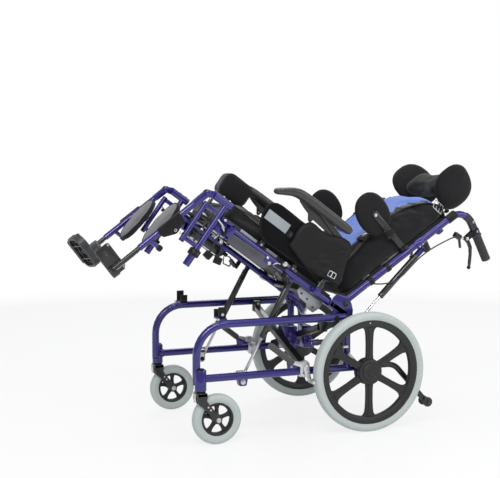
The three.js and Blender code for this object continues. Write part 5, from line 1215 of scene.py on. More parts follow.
def smooth_ring(shares, x0, length, z0, height, per=5, inset=0.0):
    """A closed outline drawn smoothly through points given as shares."""
    points = [Vector((x0 + length * a, z0 + height * b)) for a, b in shares]
    count = len(points)
    middle = Vector((x0 + length / 2, z0 + height / 2))
    ring = []
    for k in range(count):
        p0, p1, p2, p3 = (points[(k + j - 1) % count] for j in range(4))
        for j in range(per):
            u = j / per
            spot = 0.5 * (2 * p1 + (p2 - p0) * u + (2 * p0 - 5 * p1 + 4 * p2 - p3) * u * u
                    + (3 * p1 - p0 - 3 * p2 + p3) * u ** 3)
            if inset:
                spot += (middle - spot).normalized() * inset
            ring.append((spot.x, spot.y))
    return ring


# a darker copy of the black cover fabric: its extra darkness is painted shade on the upright side panels
shaded_panel_cloth = cloth_finish("black_fabric_painted_shade", (0.002, 0.002, 0.003), (0.006, 0.006, 0.007), 420, 0.06, 0.5)
outline = smooth_ring(PANEL_SHARES, 137, 292, 58, 151, inset=4)
panel = pad_form(outline, 214.5, 236.5, upright, shaded_panel_cloth,
        [(0.93, 0), (0.97, 0.07), (0.99, 0.2), (1, 0.5), (0.99, 0.8), (0.965, 0.93), (0.9, 1), (0.5, 1.06)])
placed(panel, "panel_pad", seat, 60)
stuffed(panel, 0.0045, 4, 0.005)
cloth_map(panel)
welt = piped(panel, [seat @ Vector((-s, 236, h)) for s, h in outline], 0.004, 0.0014, 0.0004, 0.0022)
feet = []
for s in (210, 350):
    feet += [block(-s - 16, -s, 204.6, 219, 47, 74, satin, 1.5), cap_screw(-s - 8, 219, 52, 4)]
feet = joined(feet)
feet.data.transform(seat)
both = joined([panel, welt, feet])
to_seat = seat.inverted()
both.data.transform(to_seat)
left_panel = both_sides(both, "skirt_panel", seat, "seat", "side_panel", 60)

plate_metal = surface("brushed_plate", (0.3, 0.33, 0.35), 0.5, 0.2,
        ((0.26, 0.29, 0.31), (0.34, 0.37, 0.39), 30, (0.42, 0.58)), (1200, 0.1, 0.0003, 2))
flat = [to_seat @ vertex.co for vertex in left_panel.data.vertices]
out = max(-p.y for p in flat if -411 < p.x < -291 and 121 < p.z < 159)  # the pad's face under the plate
parts = [
    plate([(-411, 125), (-411, 159), (-319, 159), (-319, 125)], -out - 1.2, -out + 3, plate_metal, 0.6),
    block(-315, -291, -out - 3, -out + 2, 121, 143, plastic, 1.5),
    block(-309, -297, -out - 5, -out - 2.5, 126, 138, satin, 1.5),
    cap_screw(-303, -out - 5, 132, 2.6, satin, IN),
]
belongs(placed(parts, "left_panel_plate", seat), "seat")


# Armrests. Soft moulded pads that curve down in front, on flat steel brackets that turn on the posts.

arm_skin = surface("soft_polyurethane_skin", (0.016, 0.016, 0.017), 0.36, 0,
        ((0.013, 0.013, 0.014), (0.024, 0.024, 0.026), 30, (0.32, 0.44)), (700, 0.35, 0.0005, 1, "CELLS"),
        Sheen_Weight=0.15, Coat_Weight=0.4, Coat_Roughness=0.14)
ARM_SHARES = [(0.04, 0.96, 0.53, 0.6), (0.08, 1, 0.87, 0.92), (0.19, 1, 1, 1), (0.48, 1, 1, 1), (0.72, 0.96, 1, 1),
        (0.82, 0.82, 0.93, 1), (0.9, 0.53, 0.8, 0.98), (0.98, 0.2, 0.67, 0.86), (1, 0.04, 0.4, 0.55)]


def through(points, per):
    """A smooth line through points, of any number of values each."""
    line = []
    padded = [points[0]] + list(points) + [points[-1]]
    for k in range(1, len(padded) - 2):
        p0, p1, p2, p3 = padded[k - 1:k + 3]
        for j in range(per):
            u = j / per
            line.append(tuple(0.5 * (2 * b + (c - a) * u + (2 * a - 5 * b + 4 * c - d) * u * u
                    + (3 * b - a - 3 * c + d) * u ** 3) for a, b, c, d in zip(p0, p1, p2, p3)))
    line.append(tuple(points[-1]))
    return line


def swept(sections, finish, sides=24, square=0.7):
    """A moulding whose rounded section changes along its length: (s, h, half width, half depth)."""
    deselect()
    bpy.ops.mesh.primitive_circle_add(vertices=sides, radius=1, fill_type="NGON")
    made = bpy.context.object
    edit_all()
    for k in range(len(sections) - 1):
        bpy.ops.mesh.extrude_region_move(TRANSFORM_OT_translate={"value": UP})
    bpy.ops.object.mode_set(mode="OBJECT")
    for vertex in made.data.vertices:
        level = round(vertex.co.z)
        s, h, wide, deep = sections[level]
        s0, h0 = sections[max(level - 1, 0)][:2]
        s1, h1 = sections[min(level + 1, len(sections) - 1)][:2]
        lean = atan2(h1 - h0, s1 - s0)
        angle = atan2(vertex.co.y, vertex.co.x)
        c, d = cos(angle), sin(angle)
        across = wide * copysign(abs(c) ** square, c)
        up = deep * copysign(abs(d) ** square, d)
        vertex.co = (-(s - up * sin(lean)), across, h + up * cos(lean))
    edit_all()
    faces_out()
    made.data.materials.append(finish)
    return made


arm = swept([(314 * along, 51 * up, 22 * narrow, 16.5 * deep) for along, up, deep, narrow in through(ARM_SHARES, 5)],
        arm_skin)
soften(arm, 2, 3, 50)
cheeks = []
for side in (1, -1):
    cheeks += [
        link((0, 0), 11, (-150, 43), 8, side * 4.4, side * 8.9, satin, 0.9),
        collar(5.6, 11, 4.4, 9, satin, 28, (0, 0, 0), (0, side, 0)),
        bolt(0, side * 9, 0, 6, satin, (0, side, 0)),
    ]
parts = [arm] + cheeks + [
    plate([(-232, 40), (-224, 28), (-200, 19), (-176, 13), (-163, -6), (-154, -8), (-150, 6), (-100, 2), (-50, -2),
           (-8, -6), (-2, 6), (-60, 18), (-120, 34), (-150, 42), (-200, 44)], -4, 4, satin, 1.2, 3),
    cap_screw(-160, -4, 2, 3, steel, IN),
    block(-190, -40, -14, 14, 33.5, 37, satin, 1),
    cap_screw(-70, 0, 33.6, 4, steel, DOWN),
    cap_screw(-160, 0, 33.6, 4, steel, DOWN),
]
arm_place = seat @ Matrix.Translation(ARM_HINGE)
both_sides(parts, "arm_pad", arm_place, "SIDE_armrest", "armrest", 50)


# Recline gas springs. Bright piston rods stand in the seat tubes' clevises, and black painted
# cylinders end in forks on the back tubes' lugs.

recline_place = frame_at(seat, RECLINE_FOOT[0], SPRING_Y, RECLINE_FOOT[1], 9.582)
spring_rod("recline_spring", 285, recline_place)
spring_cylinder("recline_spring", 150, 379.29, 351.29, recline_place, violet)


# Back tubes. Painted steel tubes rise from the recline hinges, bend back into the push handles and
# carry the recline springs' lugs, the strap clamps and the attendant brake's mounting.

RECLINE = 20
back = frame_at(seat, HINGE_X, 0, HINGE_Z, RECLINE)
BACK_TUBE_Y = 205
DROOP = radians(8)


def handle_point(reach):
    """A point on the push handle's line, its distance behind the bend's corner given."""
    return (reach * cos(DROOP), BACK_TUBE_Y, 573 - reach * sin(DROOP))


clamp_x, _, clamp_z = handle_point(99)
handle_line = (cos(DROOP), 0, -sin(DROOP))
parts = [
    tube([(0, BACK_TUBE_Y, 0), (0, BACK_TUBE_Y, 573), handle_point(112)], 12.5, violet, bend=58),
    collar(5.6, 12.6, 192.6, 219.8, violet, 32, chamfer=(0.4, 0.4)),
    link((26, 350), 7, (0, 350), 12, 201.2, 208.8, violet, 0.8),
    # clamp ring of the recline spring, split at the back and closed by a screw
    collar(12.4, 15.4, 335, 365, violet, 36, (0, BACK_TUBE_Y, 0), UP, chamfer=(0.4, 1)),
    cap_screw(8, 219, 343, 3.4, steel, (0.4, 1, 0)),
    cap_screw(8, 219, 357, 3.4, steel, (0.4, 1, 0)),
    # two moulded strap clamps lower down
    *[collar(12.4, 15.2, t, t + 16, plastic, 36, (0, BACK_TUBE_Y, 0), UP, chamfer=(0.6, 1)) for t in (118, 196)],
    # moulded sleeve under the bend, and the black joint that carries the folding handle
    turned([(12.4, 488), (15.2, 488.6), (15.8, 491), (15.8, 524), (15.2, 527), (12.4, 528), (12.4, 488)], plastic, 36,
           (0, BACK_TUBE_Y, 0), UP),
    tube(rounded([(0, BACK_TUBE_Y, 0), (0, BACK_TUBE_Y, 573), handle_point(94)], 58)[6:], 14.4, satin),
    cap_screw(62, BACK_TUBE_Y + 14, 565, 4.6),
    # brake's cable housing with its short parking lever
    block(56, 86, 196, 214, 482, 502, satin, 4, -24),
    bar((68, BACK_TUBE_Y, 500), (113, BACK_TUBE_Y, 478), 9, 7, satin, 1.6, OUT),
    # painted clamp of the headrest's bar, with its bright screw
    block(6, 20, 196, 217, 428, 452, violet, 2.4),
    cap_screw(20, 206, 440, 5, steel, REARWARD),
    # brake mounting: collar, two cheeks and the pivot
    collar(12, 17, -8, 8, plastic, 40, (clamp_x, BACK_TUBE_Y, clamp_z), handle_line, chamfer=(0.6, 1)),
    cap_screw(clamp_x, BACK_TUBE_Y + 16.6, clamp_z, 4.2),
    pin(5, 193.5, 216.5, steel, 20, (99, 0, 516)),
    bolt(99, 214.3, 516, 5),
    bolt(99, 195.7, 516, 5, steel, IN),
    # cable adjuster
    turned([(0, 0), (3.4, 0), (3.4, 12), (4.6, 12.5), (4.6, 18), (3, 19), (3, 26), (0, 27)], steel, 20,
           (92, BACK_TUBE_Y, 508), (-0.55, 0, -1)),
]
for y0, y1 in ((-9.3, -5.3), (5.3, 9.3)):
    parts.append(link((99, 516), 8, (clamp_x, clamp_z), 10, BACK_TUBE_Y + y0, BACK_TUBE_Y + y1, plastic, 0.8))
both_sides(parts, "back_side_tube", back, "back", "back_tube")


# Hand grips. Moulded rubber sleeves with a flange in front, ribs for the fingers and a domed end.

ribs = [(0, 112.4), (18.4, 112.4), (19, 113.4), (19, 116), (18, 117.5), (15.4, 118.5)]
for k in range(17):
    start = 120 + k * 4.8
    ribs += [(14.6, start), (15.9, start + 1), (15.9, start + 3), (14.6, start + 4)]
ribs += [(15.8, 203), (16.2, 205), (16.2, 211), (15, 214), (11, 215.6), (5, 216), (0, 216)]
grip = turned(ribs, rubber, 44, (0, BACK_TUBE_Y, 573), handle_line)
both_sides(grip, "ribbed_grip", back, "back", "grip")


# Attendant brake levers. Black painted steel blades that turn in the mounting under each grip; they
# end in a ball, so the hand cannot slip off.

lever = joined([
    plate([(-8, 0), (-6, 6), (0, 8.4), (14, 7), (37, 3), (42, 0), (62, -14), (84, -32), (92, -40), (88, -46),
           (78, -40),
           (54, -20), (34, -9), (16, -6), (0, -8), (-6, -6)], -4.6, 4.6, satin, 2, 3),
    turned([(0, -6.6), (3.2, -6), (6, -3.4), (6.8, 0), (6, 3.4), (3.2, 6), (0, 6.6)], plastic, 28, (93, 0, -47)),
    pin(4.6, -5, 5, steel, 20),
])
lever_place = back @ Matrix.Translation((99, BACK_TUBE_Y, 516))
both_sides(lever, "brake_hand_lever", lever_place, "SIDE_brake_lever", "brake_lever")


# Brake cables. A black covered cable leaves each brake housing, bows out behind the back tube past the
# recline spring, and goes into the lower clamp of the tube.

CABLE = [(78, 205, 501), (71.5, 205, 489), (65.5, 206.5, 476), (60, 210.5, 461), (54.5, 216, 444), (49, 220.4, 424),
        (44.5, 221.5, 401), (41, 221.5, 375), (39, 221.5, 348), (39, 221.5, 320), (42, 221.5, 292),
        (46.5, 221.5, 264),
        (50.5, 221.5, 238), (51.5, 221, 214), (48.5, 219, 191), (41, 216, 170), (31, 212.5, 152), (21, 209.5, 138),
        (12, 207, 127)]
for side in (1, -1):
    name = ("right" if side > 0 else "left") + "_brake_cable"
    cable = tube([(x, side * y, t) for x, y, t in CABLE], 2.4, rubber, bend=14)
    placed(cable, name, back, 50)
    belongs(cable, "back")


# Back panel. A black coated board between the back tubes, screwed to two cross bars; the collars that
# hold the headrest's stem are bolted to its middle.

parts = [
    plate([(-12.3, 34), (-12.3, 486), (1.6, 486), (1.6, 34)], -189, 189, board_black, 2),
    tube([(4, -192, 42), (4, 192, 42)], 8, satin),
    tube([(4, -192, 454), (4, 192, 454)], 8, satin),
]
for t in (42, 454):
    for y in (-165, -60, 60, 165):
        parts.append(cap_screw(12, y, t, 4.6, steel, REARWARD))
for side in (1, -1):
    for t0, t1 in ((112, 140), (196, 290)):
        parts.append(block(-16.4, -12.2, side * 180, side * 190.5, t0, t1, steel, 0.6))
for t in (392, 462):
    parts += [
        block(1, 14.6, -13, 13, t, t + 18, plastic, 2),
        turned([(9.4, t), (12.6, t), (13, t + 1), (13, t + 17), (12.6, t + 18), (9.4, t + 18), (9.4, t)], plastic,
               36, (24, 0, 0), UP),
        turned([(0, 0), (3, 0), (3, 10), (9, 12), (10, 18), (8, 22), (0, 22.6)], plastic, 24, (36, 0, t + 9),
               REARWARD),
    ]
belongs(placed(parts, "back_board", back), "back", "back_panel")


# Back cushion. A deep foam cushion with a stuffed black roll down each side and a cornflower blue
# spacer-fabric middle, sewn together with piping; the cover closes over an arched top.

blue_cloth = cloth_finish("cornflower_spacer_fabric", (0.08, 0.15, 0.5), (0.2, 0.34, 0.92), 380, 0.4, 0.55)
blue_welt = cloth_finish("blue_piping_cloth", (0.04, 0.08, 0.3), (0.1, 0.17, 0.52), 700, 0.25, 0.4)
ROLL_INNER = 126
BACK_DEPTH_0, BACK_DEPTH_1 = 13.4, 104


def arch_of(t, y):
    """How far the cover's arched top lifts a point of its upper half."""
    return 24 * (1 - (y / 196) ** 2) * max(0, t - 258) / 242


def back_cushion_place(t, y, f):
    forward = (f - BACK_DEPTH_0) / (BACK_DEPTH_1 - BACK_DEPTH_0)
    lift = 26 * forward * max(0, 258 - t) / 242
    roll = 9 * forward * max(0, 1 - ((abs(y) - 160) / 36) ** 2) - 6 * forward * max(0, 1 - (y / 120) ** 2)
    taper = 36 * forward * max(0, (t - 350) / 154) ** 1.5 * min(1, max(0, (abs(y) - 90) / 50))
    return Vector((-f - roll + taper, y, t + arch_of(t, y) + lift))


BACK_SHARES = [(0.94, 0.0), (0.98, 0.04), (0.995, 0.15), (1.0, 0.4), (0.99, 0.65), (0.965, 0.82), (0.92, 0.93),
        (0.84, 0.99),
        (0.7, 1.0), (0.5, 1.0), (0.25, 1.0)]
outline = pad_outline(22, 504, -190, 190, 42, 3)
cushion = pad_form(outline, BACK_DEPTH_0, BACK_DEPTH_1, back_cushion_place, black_cloth, BACK_SHARES)
placed(cushion, "back_cushion_cover", back, 60)
back_out = (back.to_3x3() @ Vector(FORWARD)).normalized()
level = (back @ Vector((-17, 0, 0))).dot(back_out)
stuffed(cushion, 0.006, 3.5, 0.014, lambda co: co.dot(back_out) < level)
behind = (back @ Vector((-13, 0, 0))).dot(back_out)
to_back = back.inverted()
for vertex in cushion.data.vertices:
    under = behind - vertex.co.dot(back_out)
    if under > 0:
        vertex.co += back_out * under


def cast_onto(piece, spots, direction, lift=0.0):
    """Lays points onto a skin along one direction."""
    laid = []
    for spot in spots:
        hit, place, normal, index = piece.ray_cast(spot, direction)
        if hit:
            laid.append(place + normal * lift)
    return laid


# the line where the blue middle meets the rolls
PANEL_LOW, PANEL_HIGH = 40, 507
panel_seam = [back @ Vector((-140, y, t + arch_of(t, y)))
        for t, y in pad_outline(PANEL_LOW, PANEL_HIGH, -ROLL_INNER, ROLL_INNER, 26, 0, 6, 22)]
sunk(cushion, cast_onto(cushion, panel_seam, -back_out), 0.008, 0.007)
cushion.data.update()
cushion.data.materials.append(blue_cloth)
for face in cushion.data.polygons:
    spot = to_back @ face.center
    top = PANEL_HIGH + 24 * (1 - (spot.y / 196) ** 2)
    if face.normal.dot(back_out) > 0.1 and abs(spot.y) < ROLL_INNER and PANEL_LOW < spot.z < top - 4:
        face.material_index = 1
cloth_map(cushion)
piece = joined([cushion, welt_on(cast_onto(cushion, panel_seam, -back_out, 0.0012), 0.0028, blue_welt)])
piece.name = "back_cushion_cover"
belongs(piece, "back", "back_cushion")


# Lateral supports. Oval foam pads in black stretch fabric, piped round the rim, on flat steel bars
# that clamp to the back tubes.

stretch_cloth = cloth_finish("black_stretch_fabric", (0.007, 0.007, 0.008), (0.02, 0.02, 0.022), 900, 0.14, 0.3, 0.8)
ROUND_SHARES = [(0.7, 0.0), (0.86, 0.06), (0.95, 0.17), (0.99, 0.33), (1.0, 0.5), (0.99, 0.67), (0.95, 0.83),
        (0.86, 0.94),
        (0.7, 1.0), (0.4, 1.02)]

outline = oval(182, 267, 78, 62, 56, 0.92)
pad = pad_form(outline, 177, 201, upright, stretch_cloth, ROUND_SHARES)
placed(pad, "lateral", back, 60)
stuffed(pad, 0.0042, 5, 0.006)
cloth_map(pad)
rim = [back @ Vector((-f, 189, t)) for f, t in oval(182, 267, 95, 78, 64, 0.92)]
welt = piped(pad, rim, 0.004, 0.0016, 0.0004, 0.002)
metal = joined([
    plate([(-188, 256), (-191, 267), (-188, 278), (-14, 305), (-13, 282), (-175, 256)], 203, 207.2, satin, 1.4, 3),
    turned([(0, 201), (10, 201), (10, 204), (7, 205.4), (0, 206)], plastic, 28, (-177, 0, 267)),
    bolt(-177, 206.4, 267, 4.6),
    cap_screw(-120, 207, 272.5, 4.4, satin),
    bolt(-60, 207, 281, 5, satin),
    block(-112, -108, 206, 210, 258, 288, satin, 0.8, 8),
    block(-84, -80, 206, 210, 262, 294, satin, 0.8, 8),
    block(-112, -76, 206.4, 209, 262, 290, plastic, 1, 8),
    block(-24, -12.8, 194, 213, 278, 309, plastic, 2),
    bolt(-18, 213, 300, 5, satin),
])
metal.data.transform(back)
both = joined([pad, welt, metal])
both.data.transform(to_back)
both_sides(both, "lateral_pad", back, "back", "lateral_support", 60)


# Headrest. A padded middle and two big oval wings in black stretch fabric on a steel stem, which
# slides in the collars behind the backrest.

outline = pad_outline(546, 654, -120, 120, 40, 0)
middle_pad = pad_form(outline, 52, 94, lambda t, y, f: Vector((-f - 8 * (y / 100) ** 2 + 4, y, t)), stretch_cloth,
        ROUND_SHARES)
placed(middle_pad, "head_middle", back, 60)
stuffed(middle_pad, 0.0045, 5, 0.008)
cloth_map(middle_pad)
pieces = [middle_pad]
for side in (1, -1):
    splay = tan(radians(30 if side > 0 else 14))
    outline = oval(58, 608, 78, 76, 56, 0.82)
    wing = pad_form(outline, 3, 43, lambda f, t, w: Vector((-f, side * (111 + w + (f - 58) * splay), t)),
            stretch_cloth,
            ROUND_SHARES)
    placed(wing, "head_wing", back, 60)
    stuffed(wing, 0.0045, 5, 0.007)
    cloth_map(wing)
    for depth in (15, 31):
        rim = [back @ Vector((-f, side * (111 + depth + (f - 58) * splay), t))
               for f, t in oval(58, 608, 96, 94, 64, 0.82)]
        pieces.append(piped(wing, rim, 0.0035, 0.0013, 0.0003, 0.0018))
    pieces.append(wing)
metal = joined([
    turned([(0, 380), (8.4, 380), (9, 381), (9, 611), (8.2, 612), (0, 612)], satin, 32, (24, 0, 0), UP),
    tube([(24, 0, 603), (-46, 0, 603)], 9, satin),
    turned([(0, 0), (14, 0), (15, 1.5), (15, 22), (13, 24), (0, 24.4)], plastic, 32, (24, 0, 592), UP),
    turned([(0, 0), (3, 0), (3, 8), (9, 10), (10, 15), (8, 19), (0, 19.6)], plastic, 24, (38, 0, 603), REARWARD),
    block(-50, -44, -34, 34, 580, 626, satin, 2),
])
metal.data.transform(back)
piece = joined(pieces + [metal])
piece.name = "headrest_pads"
belongs(piece, "headrest", "headrest")


# Hangers. Two painted steel posts joined by a rung and a rail swing on the seat's receivers and lift
# out of them; a black clamp and a short stub lie below, and a stout cap tube carries the legrest.

hanger_place = seat @ Matrix.Translation((-540, 235, 0))


def coil(start, end, radius, wire, turns, finish):
    """A visible compression spring with closed ends."""
    start, end = Vector(start), Vector(end)
    turn = (end - start).to_track_quat("Z", "Y")
    path = []
    for k in range(turns * 12 + 1):
        angle = tau * k / 12
        path.append(start + turn @ Vector((radius * cos(angle), radius * sin(angle),
                (end - start).length * k / (turns * 12))))
    return tube(path, wire, finish, round_sides=2)


parts = [
    tube([(0, 0, -140), (0, 0, 82)], 10, violet),
    tube([(-58, 0, -92), (-58, 0, 52)], 9, violet),
    *[turned([(0, 0), (8.6, 0), (9, 1), (9, 2), (7.4, 3), (0, 3.4)], plastic, 28, (-58, 0, z), way)
      for z, way in ((52, UP), (-92, DOWN))],
    *[bar((-2, 0, z), (-56, 0, z), 12, 15, violet, 3, OUT) for z in (46, -80)],
    # cap tube with its end plug, the pivot plate and the pivot's screw
    tube([(18, 0, 87), (-50, 0, 87)], 13, violet),
    turned([(0, 0), (12.4, 0), (12.9, 1), (12.9, 2.4), (11, 3.2), (0, 3.6)], plastic, 32, (18, 0, 87), REARWARD),
    link((-50, 87), 12.8, (-74, 78), 11, -3.9, 3.9, violet, 1),
    pin(5, -13, 13, steel, 24, (-74, 0, 78)),
    cap_screw(-20, 0, 100, 4, steel, UP),
    cap_screw(4, 0, 100, 4, steel, UP),
    # clamp and stub
    block(-16, 16, -16, 16, -112, -88, plastic, 3),
    bolt(-8, 16, -100, 4.6, satin),
    bolt(8, 16, -100, 4.6, satin),
    turned([(10, -84), (12, -84), (12, -146), (10.6, -149), (0, -149)], violet, 32, (0, 0, 0), UP),
    # locking rod and its spring between the posts
    pin(3, -72, 38, satin, 20, (-22, 0, 0), UP),
    coil((-22, 0, -66), (-22, 0, -28), 5.0, 1.1, 8, satin),
    pin(5.4, -28, -23, steel, 20, (-22, 0, 0), UP),
    block(-44, -14, -9, 9, 6, 16, plastic, 2),
    bar((-22, 0, 12), (-60, 0, 22), 7, 5, steel, 1, OUT),
    tube([(2, 8, 30), (26, 10, 22), (40, 10, 10)], 3, steel, bend=6),
    turned([(0, 0), (7, 0), (8, 2), (8, 12), (6, 15), (0, 16)], plastic, 24, (40, 10, 10), (0.7, 0, -1)),
]
for z in (36, -70):
    for x in (0, -58):
        parts.append(turned([(9.2, 0), (11.2, 1.2), (11.2, 2.8), (9.2, 4)], violet, 28, (x, 0, z), UP))
both_sides(parts, "swing_hanger", hanger_place, "SIDE_hanger", "hanger")


# Legrest tubes. Painted tubes that turn on the hangers' pivots under moulded covers; a ribbed black
# housing holds the length clamp, and a short arm with a knob fixes the calf pad.

LEG_TURN = 17
leg_place = frame_at(hanger_place, -74, 0, 78, LEG_TURN)

parts = [
    turned([(10.5, 38), (10.5, 280), (8.6, 280), (8.6, 232)], violet, 36, (0, 0, 0), DOWN),
]
for side in (1, -1):
    parts += [
        link((0, 0), 11, (0, -48), 10.4, side * 4.4, side * 10, violet, 1.2),
        collar(10.4, 12.2, 4.2, 9.6, plastic, 36, (0, 0, 0), (0, side, 0)),
        turned([(5.6, 10), (9.6, 10), (10.4, 11), (10.4, 13), (9, 15), (6, 16), (0, 16.2)], violet, 36, (0, 0, 0),
               (0, side, 0)),
    ]
housing = [(-13, -116), (-9, -112), (12, -112), (20, -116), (35, -150), (36.5, -157), (35, -165), (20, -199),
        (12, -203),
        (-9, -203), (-13, -199)]
parts += [
    plate(housing, 1.5, 14.4, plastic, 2.4, 3),
    link((0, -157), 12.6, (24, -157), 8, -9, 1.5, violet, 1.5),
    cap_screw(25, 14.4, -157, 5.4),
    # calf pad's short arm with its moulded knob
    tube([(4, 0, -238), (34, 0, -231)], 7, violet),
    turned([(0, 0), (8, 0), (10, 2), (10, 13), (8, 16), (0, 16.6)], plastic, 10, (33, 0, -231), (1, 0, 0.24)),
]
for k in range(9):
    z = -121 - k * 9
    reach = 30 - abs(z + 157) * 0.42
    parts.append(block(-10, min(reach, 17), 13, 15.8, z - 1.6, z + 1.6, plastic, 0.7))
both_sides(parts, "legrest_post", leg_place, "SIDE_legrest", "legrest_tube")


# Calf pads. Oval foam pads with a grey leathercloth face and a black gusset, screwed to flat arms.

grey_hide = surface("grey_leathercloth", (0.13, 0.127, 0.142), 0.5, 0,
        ((0.1, 0.097, 0.11), (0.17, 0.166, 0.184), 26, (0.42, 0.58)), (520, 0.35, 0.0005, 1, "CELLS"),
        Sheen_Weight=0.3, Sheen_Roughness=0.4)

# the pad leans about the middle of its back
calf_place = frame_at(leg_place, 17, 0, -160, -12) @ Matrix.Translation((-17, 0, 160))
outline = oval(160, -88, 88, 71, 56, 0.95)
calf = pad_form(outline, -15, 6, lambda u, y, f: Vector((-f, y, -u)), stretch_cloth,
        [(0.9, 0), (0.96, 0.06), (0.99, 0.2), (1, 0.5), (0.99, 0.75), (0.96, 0.88), (0.9, 0.96), (0.7, 1.03),
        (0.35, 1.08)])
placed(calf, "calf", calf_place, 60)
stuffed(calf, 0.0042, 4, 0.005)
cloth_map(calf)
to_leg = calf_place.inverted()
ring = [calf_place @ Vector((-12, y, -u)) for u, y in oval(160, -88, 84, 67, 60, 0.95)]
leg_front = (calf_place.to_3x3() @ Vector(FORWARD)).normalized()
ring = cast_onto(calf, [p + leg_front * 0.03 for p in ring], -leg_front)
sunk(calf, ring, 0.0035, 0.0014)
calf.data.update()
calf.data.materials.append(grey_hide)
for face in calf.data.polygons:
    spot = to_leg @ face.center
    inside = ((spot.z + 160) / 84) ** 2 + ((spot.y + 88) / 67) ** 2
    if face.normal.dot(leg_front) > 0.1 and inside < 1:
        face.material_index = 1
welt = welt_on([p + leg_front * 0.0006 for p in ring], 0.002, black_welt)
arm = joined([
    block(13, 21, -88, -14.4, -179, -151, satin, 1.5),
    block(15.4, 18.4, -130, -46, -200, -130, satin, 1.2),
    cap_screw(21, -30, -165, 4.6, steel, REARWARD),
    cap_screw(21, -70, -165, 4.6, steel, REARWARD),
    cap_screw(18.4, -118, -190, 4, steel, REARWARD),
    cap_screw(18.4, -118, -140, 4, steel, REARWARD),
])
arm.data.transform(leg_place)
both = joined([calf, welt, arm])
both.data.transform(leg_place.inverted())
both_sides(both, "calf_support", leg_place, "SIDE_legrest", "calf_pad", 60)


# Inner leg tubes. Black tubes with a bright index strip slide in the legrest tubes; a square steel
# heel band with a window is welded on below, and holds the footplate's hinge.

def slotted(piece, x, y, z, long, tall, deep):
    """Cuts a round-ended slot through a plate."""
    cutter = link((x - long / 2, z), tall / 2, (x + long / 2, z), tall / 2 - 0.01, y - deep, y + deep,
            piece.data.materials[0], 0)
    choose(piece)
    modified(piece, "BOOLEAN", object=cutter, operation="DIFFERENCE", solver="EXACT")
    bpy.data.objects.remove(cutter)


heel_band = plate([(-74, -394), (-76, -391), (-76, -352), (-72, -345), (16, -345), (24, -353), (24, -391), (20, -398),
        (-70, -398)], -11, -6.5, satin, 1.2)
for x in (-48, 0):
    slotted(heel_band, x, -8.5, -372, 16, 7, 6)
parts = [
    tube([(0, 0, -152), (0, 0, -384)], 8, satin),
    turned([(0, 0), (8.2, 0), (8.6, 1), (8.6, 3), (7, 4.4), (0, 4.8)], plastic, 28, (0, 0, -384), DOWN),
    block(7.6, 9.4, -3.4, 3.4, -376, -288, steel, 0.6),
    heel_band,
    cap_screw(-68, -6.5, -351, 4),
    cap_screw(16, -6.5, -351, 4),
    block(-10, 10, -8, 0, -396, -347, satin, 1.5),
]
for k in range(7):
    parts.append(pin(2.2, 0, 0.5, plastic, 16, (9.4, 0, -296 - k * 12), REARWARD))
for x, out in ((-70, -1), (18, 1)):
    parts += [
        pin(4, 0, 6, satin, 24, (x, -16, -378), (out, 0, 0)),
        block(min(x, x + out * 6), max(x, x + out * 6), -16, -8, -381.8, -374.2, satin, 0.5),
        pin(2, 0, 17.6, steel, 20, (x + out * 5.6, -16, -378), (-out, 0, 0)),
    ]
both_sides(parts, "leg_slide", leg_place, "SIDE_inner_tube", "inner_tube")


# Footplates. Black glass-filled mouldings: a thick rounded rim round a web, stiffened by ribs below
# and roughened by treads on top, hinged to the heel band.

foot_place = leg_place @ Matrix.Translation((0, -16, -378)) @ Matrix.Rotation(radians(-10), 4, "X")

foot_grey = surface("glass_filled_nylon", (0.035, 0.036, 0.04), 0.34, 0,
        ((0.026, 0.027, 0.03), (0.045, 0.046, 0.05), 30, (0.28, 0.42)), (1500, 0.2, 0.0004, 2))


def rim_ring(u0, u1, v0, v1, corner, inner, z0, z1, finish):
    """A raised rim: an outer and an inner rounded wall bridged above and below."""
    rings = []
    for inset, z in ((0, z0 + 2), (2, z0), (inner - 2, z0), (inner, z0 + 2), (inner, z1 - 2), (inner - 2, z1),
            (2, z1),
            (0, z1 - 2)):
        rings.append([(x, y, z) for x, y in
                pad_outline(u0 + inset, u1 - inset, v0 + inset, v1 - inset, max(corner - inset, 2), 0, 6, 4)])
    count = len(rings[0])
    deselect()
    bpy.ops.mesh.primitive_grid_add(x_subdivisions=len(rings), y_subdivisions=count, size=2)
    made = bpy.context.object
    columns = sorted({round(v.co.x, 4) for v in made.data.vertices})
    rows = sorted({round(v.co.y, 4) for v in made.data.vertices})
    for vertex in made.data.vertices:
        i, j = columns.index(round(vertex.co.x, 4)), rows.index(round(vertex.co.y, 4))
        vertex.co = rings[i % len(rings)][j % count]
    edit_all()
    bpy.ops.mesh.remove_doubles(threshold=0.01)
    faces_out()
    made.data.materials.append(finish)
    return made


web = plate([(x, -y) for x, y in pad_outline(-84, 34, -108, -9, 30, 0, 6, 2)], -1.5, 3, wheel_black, 0.6, 3)
web.data.transform(Matrix.Rotation(radians(90), 4, "X"))  # drawn upright, laid flat
parts = [
    rim_ring(-88, 38, -112, -5.6, 34, 9, -21, 5, foot_grey),
    web,
    collar(2.4, 4, -69.6, 17.6, satin, 24, (0, 0, 0), REARWARD),
    block(-69.6, 17.6, -7, 0, -3.8, 3.8, wheel_black, 0.6),
]
for x in (-52, 2):
    parts.append(block(x - 2.6, x + 2.6, -106, -12, -18, 0, foot_grey, 1))
for y in (-78, -42):
    parts.append(block(-82, 32, y - 2.4, y + 2.4, -16, 0, wheel_black, 1))
for x, y in ((-25, -60), (-25, -24), (-70, -60), (20, -60)):
    parts.append(turned([(3, -1), (3, -14), (7, -14), (8, -13), (8, -1)], wheel_black, 24, (x, y, 0), UP))
for k in range(9):
    x = -77 + k * 12.6
    parts.append(block(x, x + 5, -100, -18, 2.6, 4.6, wheel_black, 0.9))
both_sides(parts, "foot_plate", foot_place, "SIDE_footplate", "footplate")


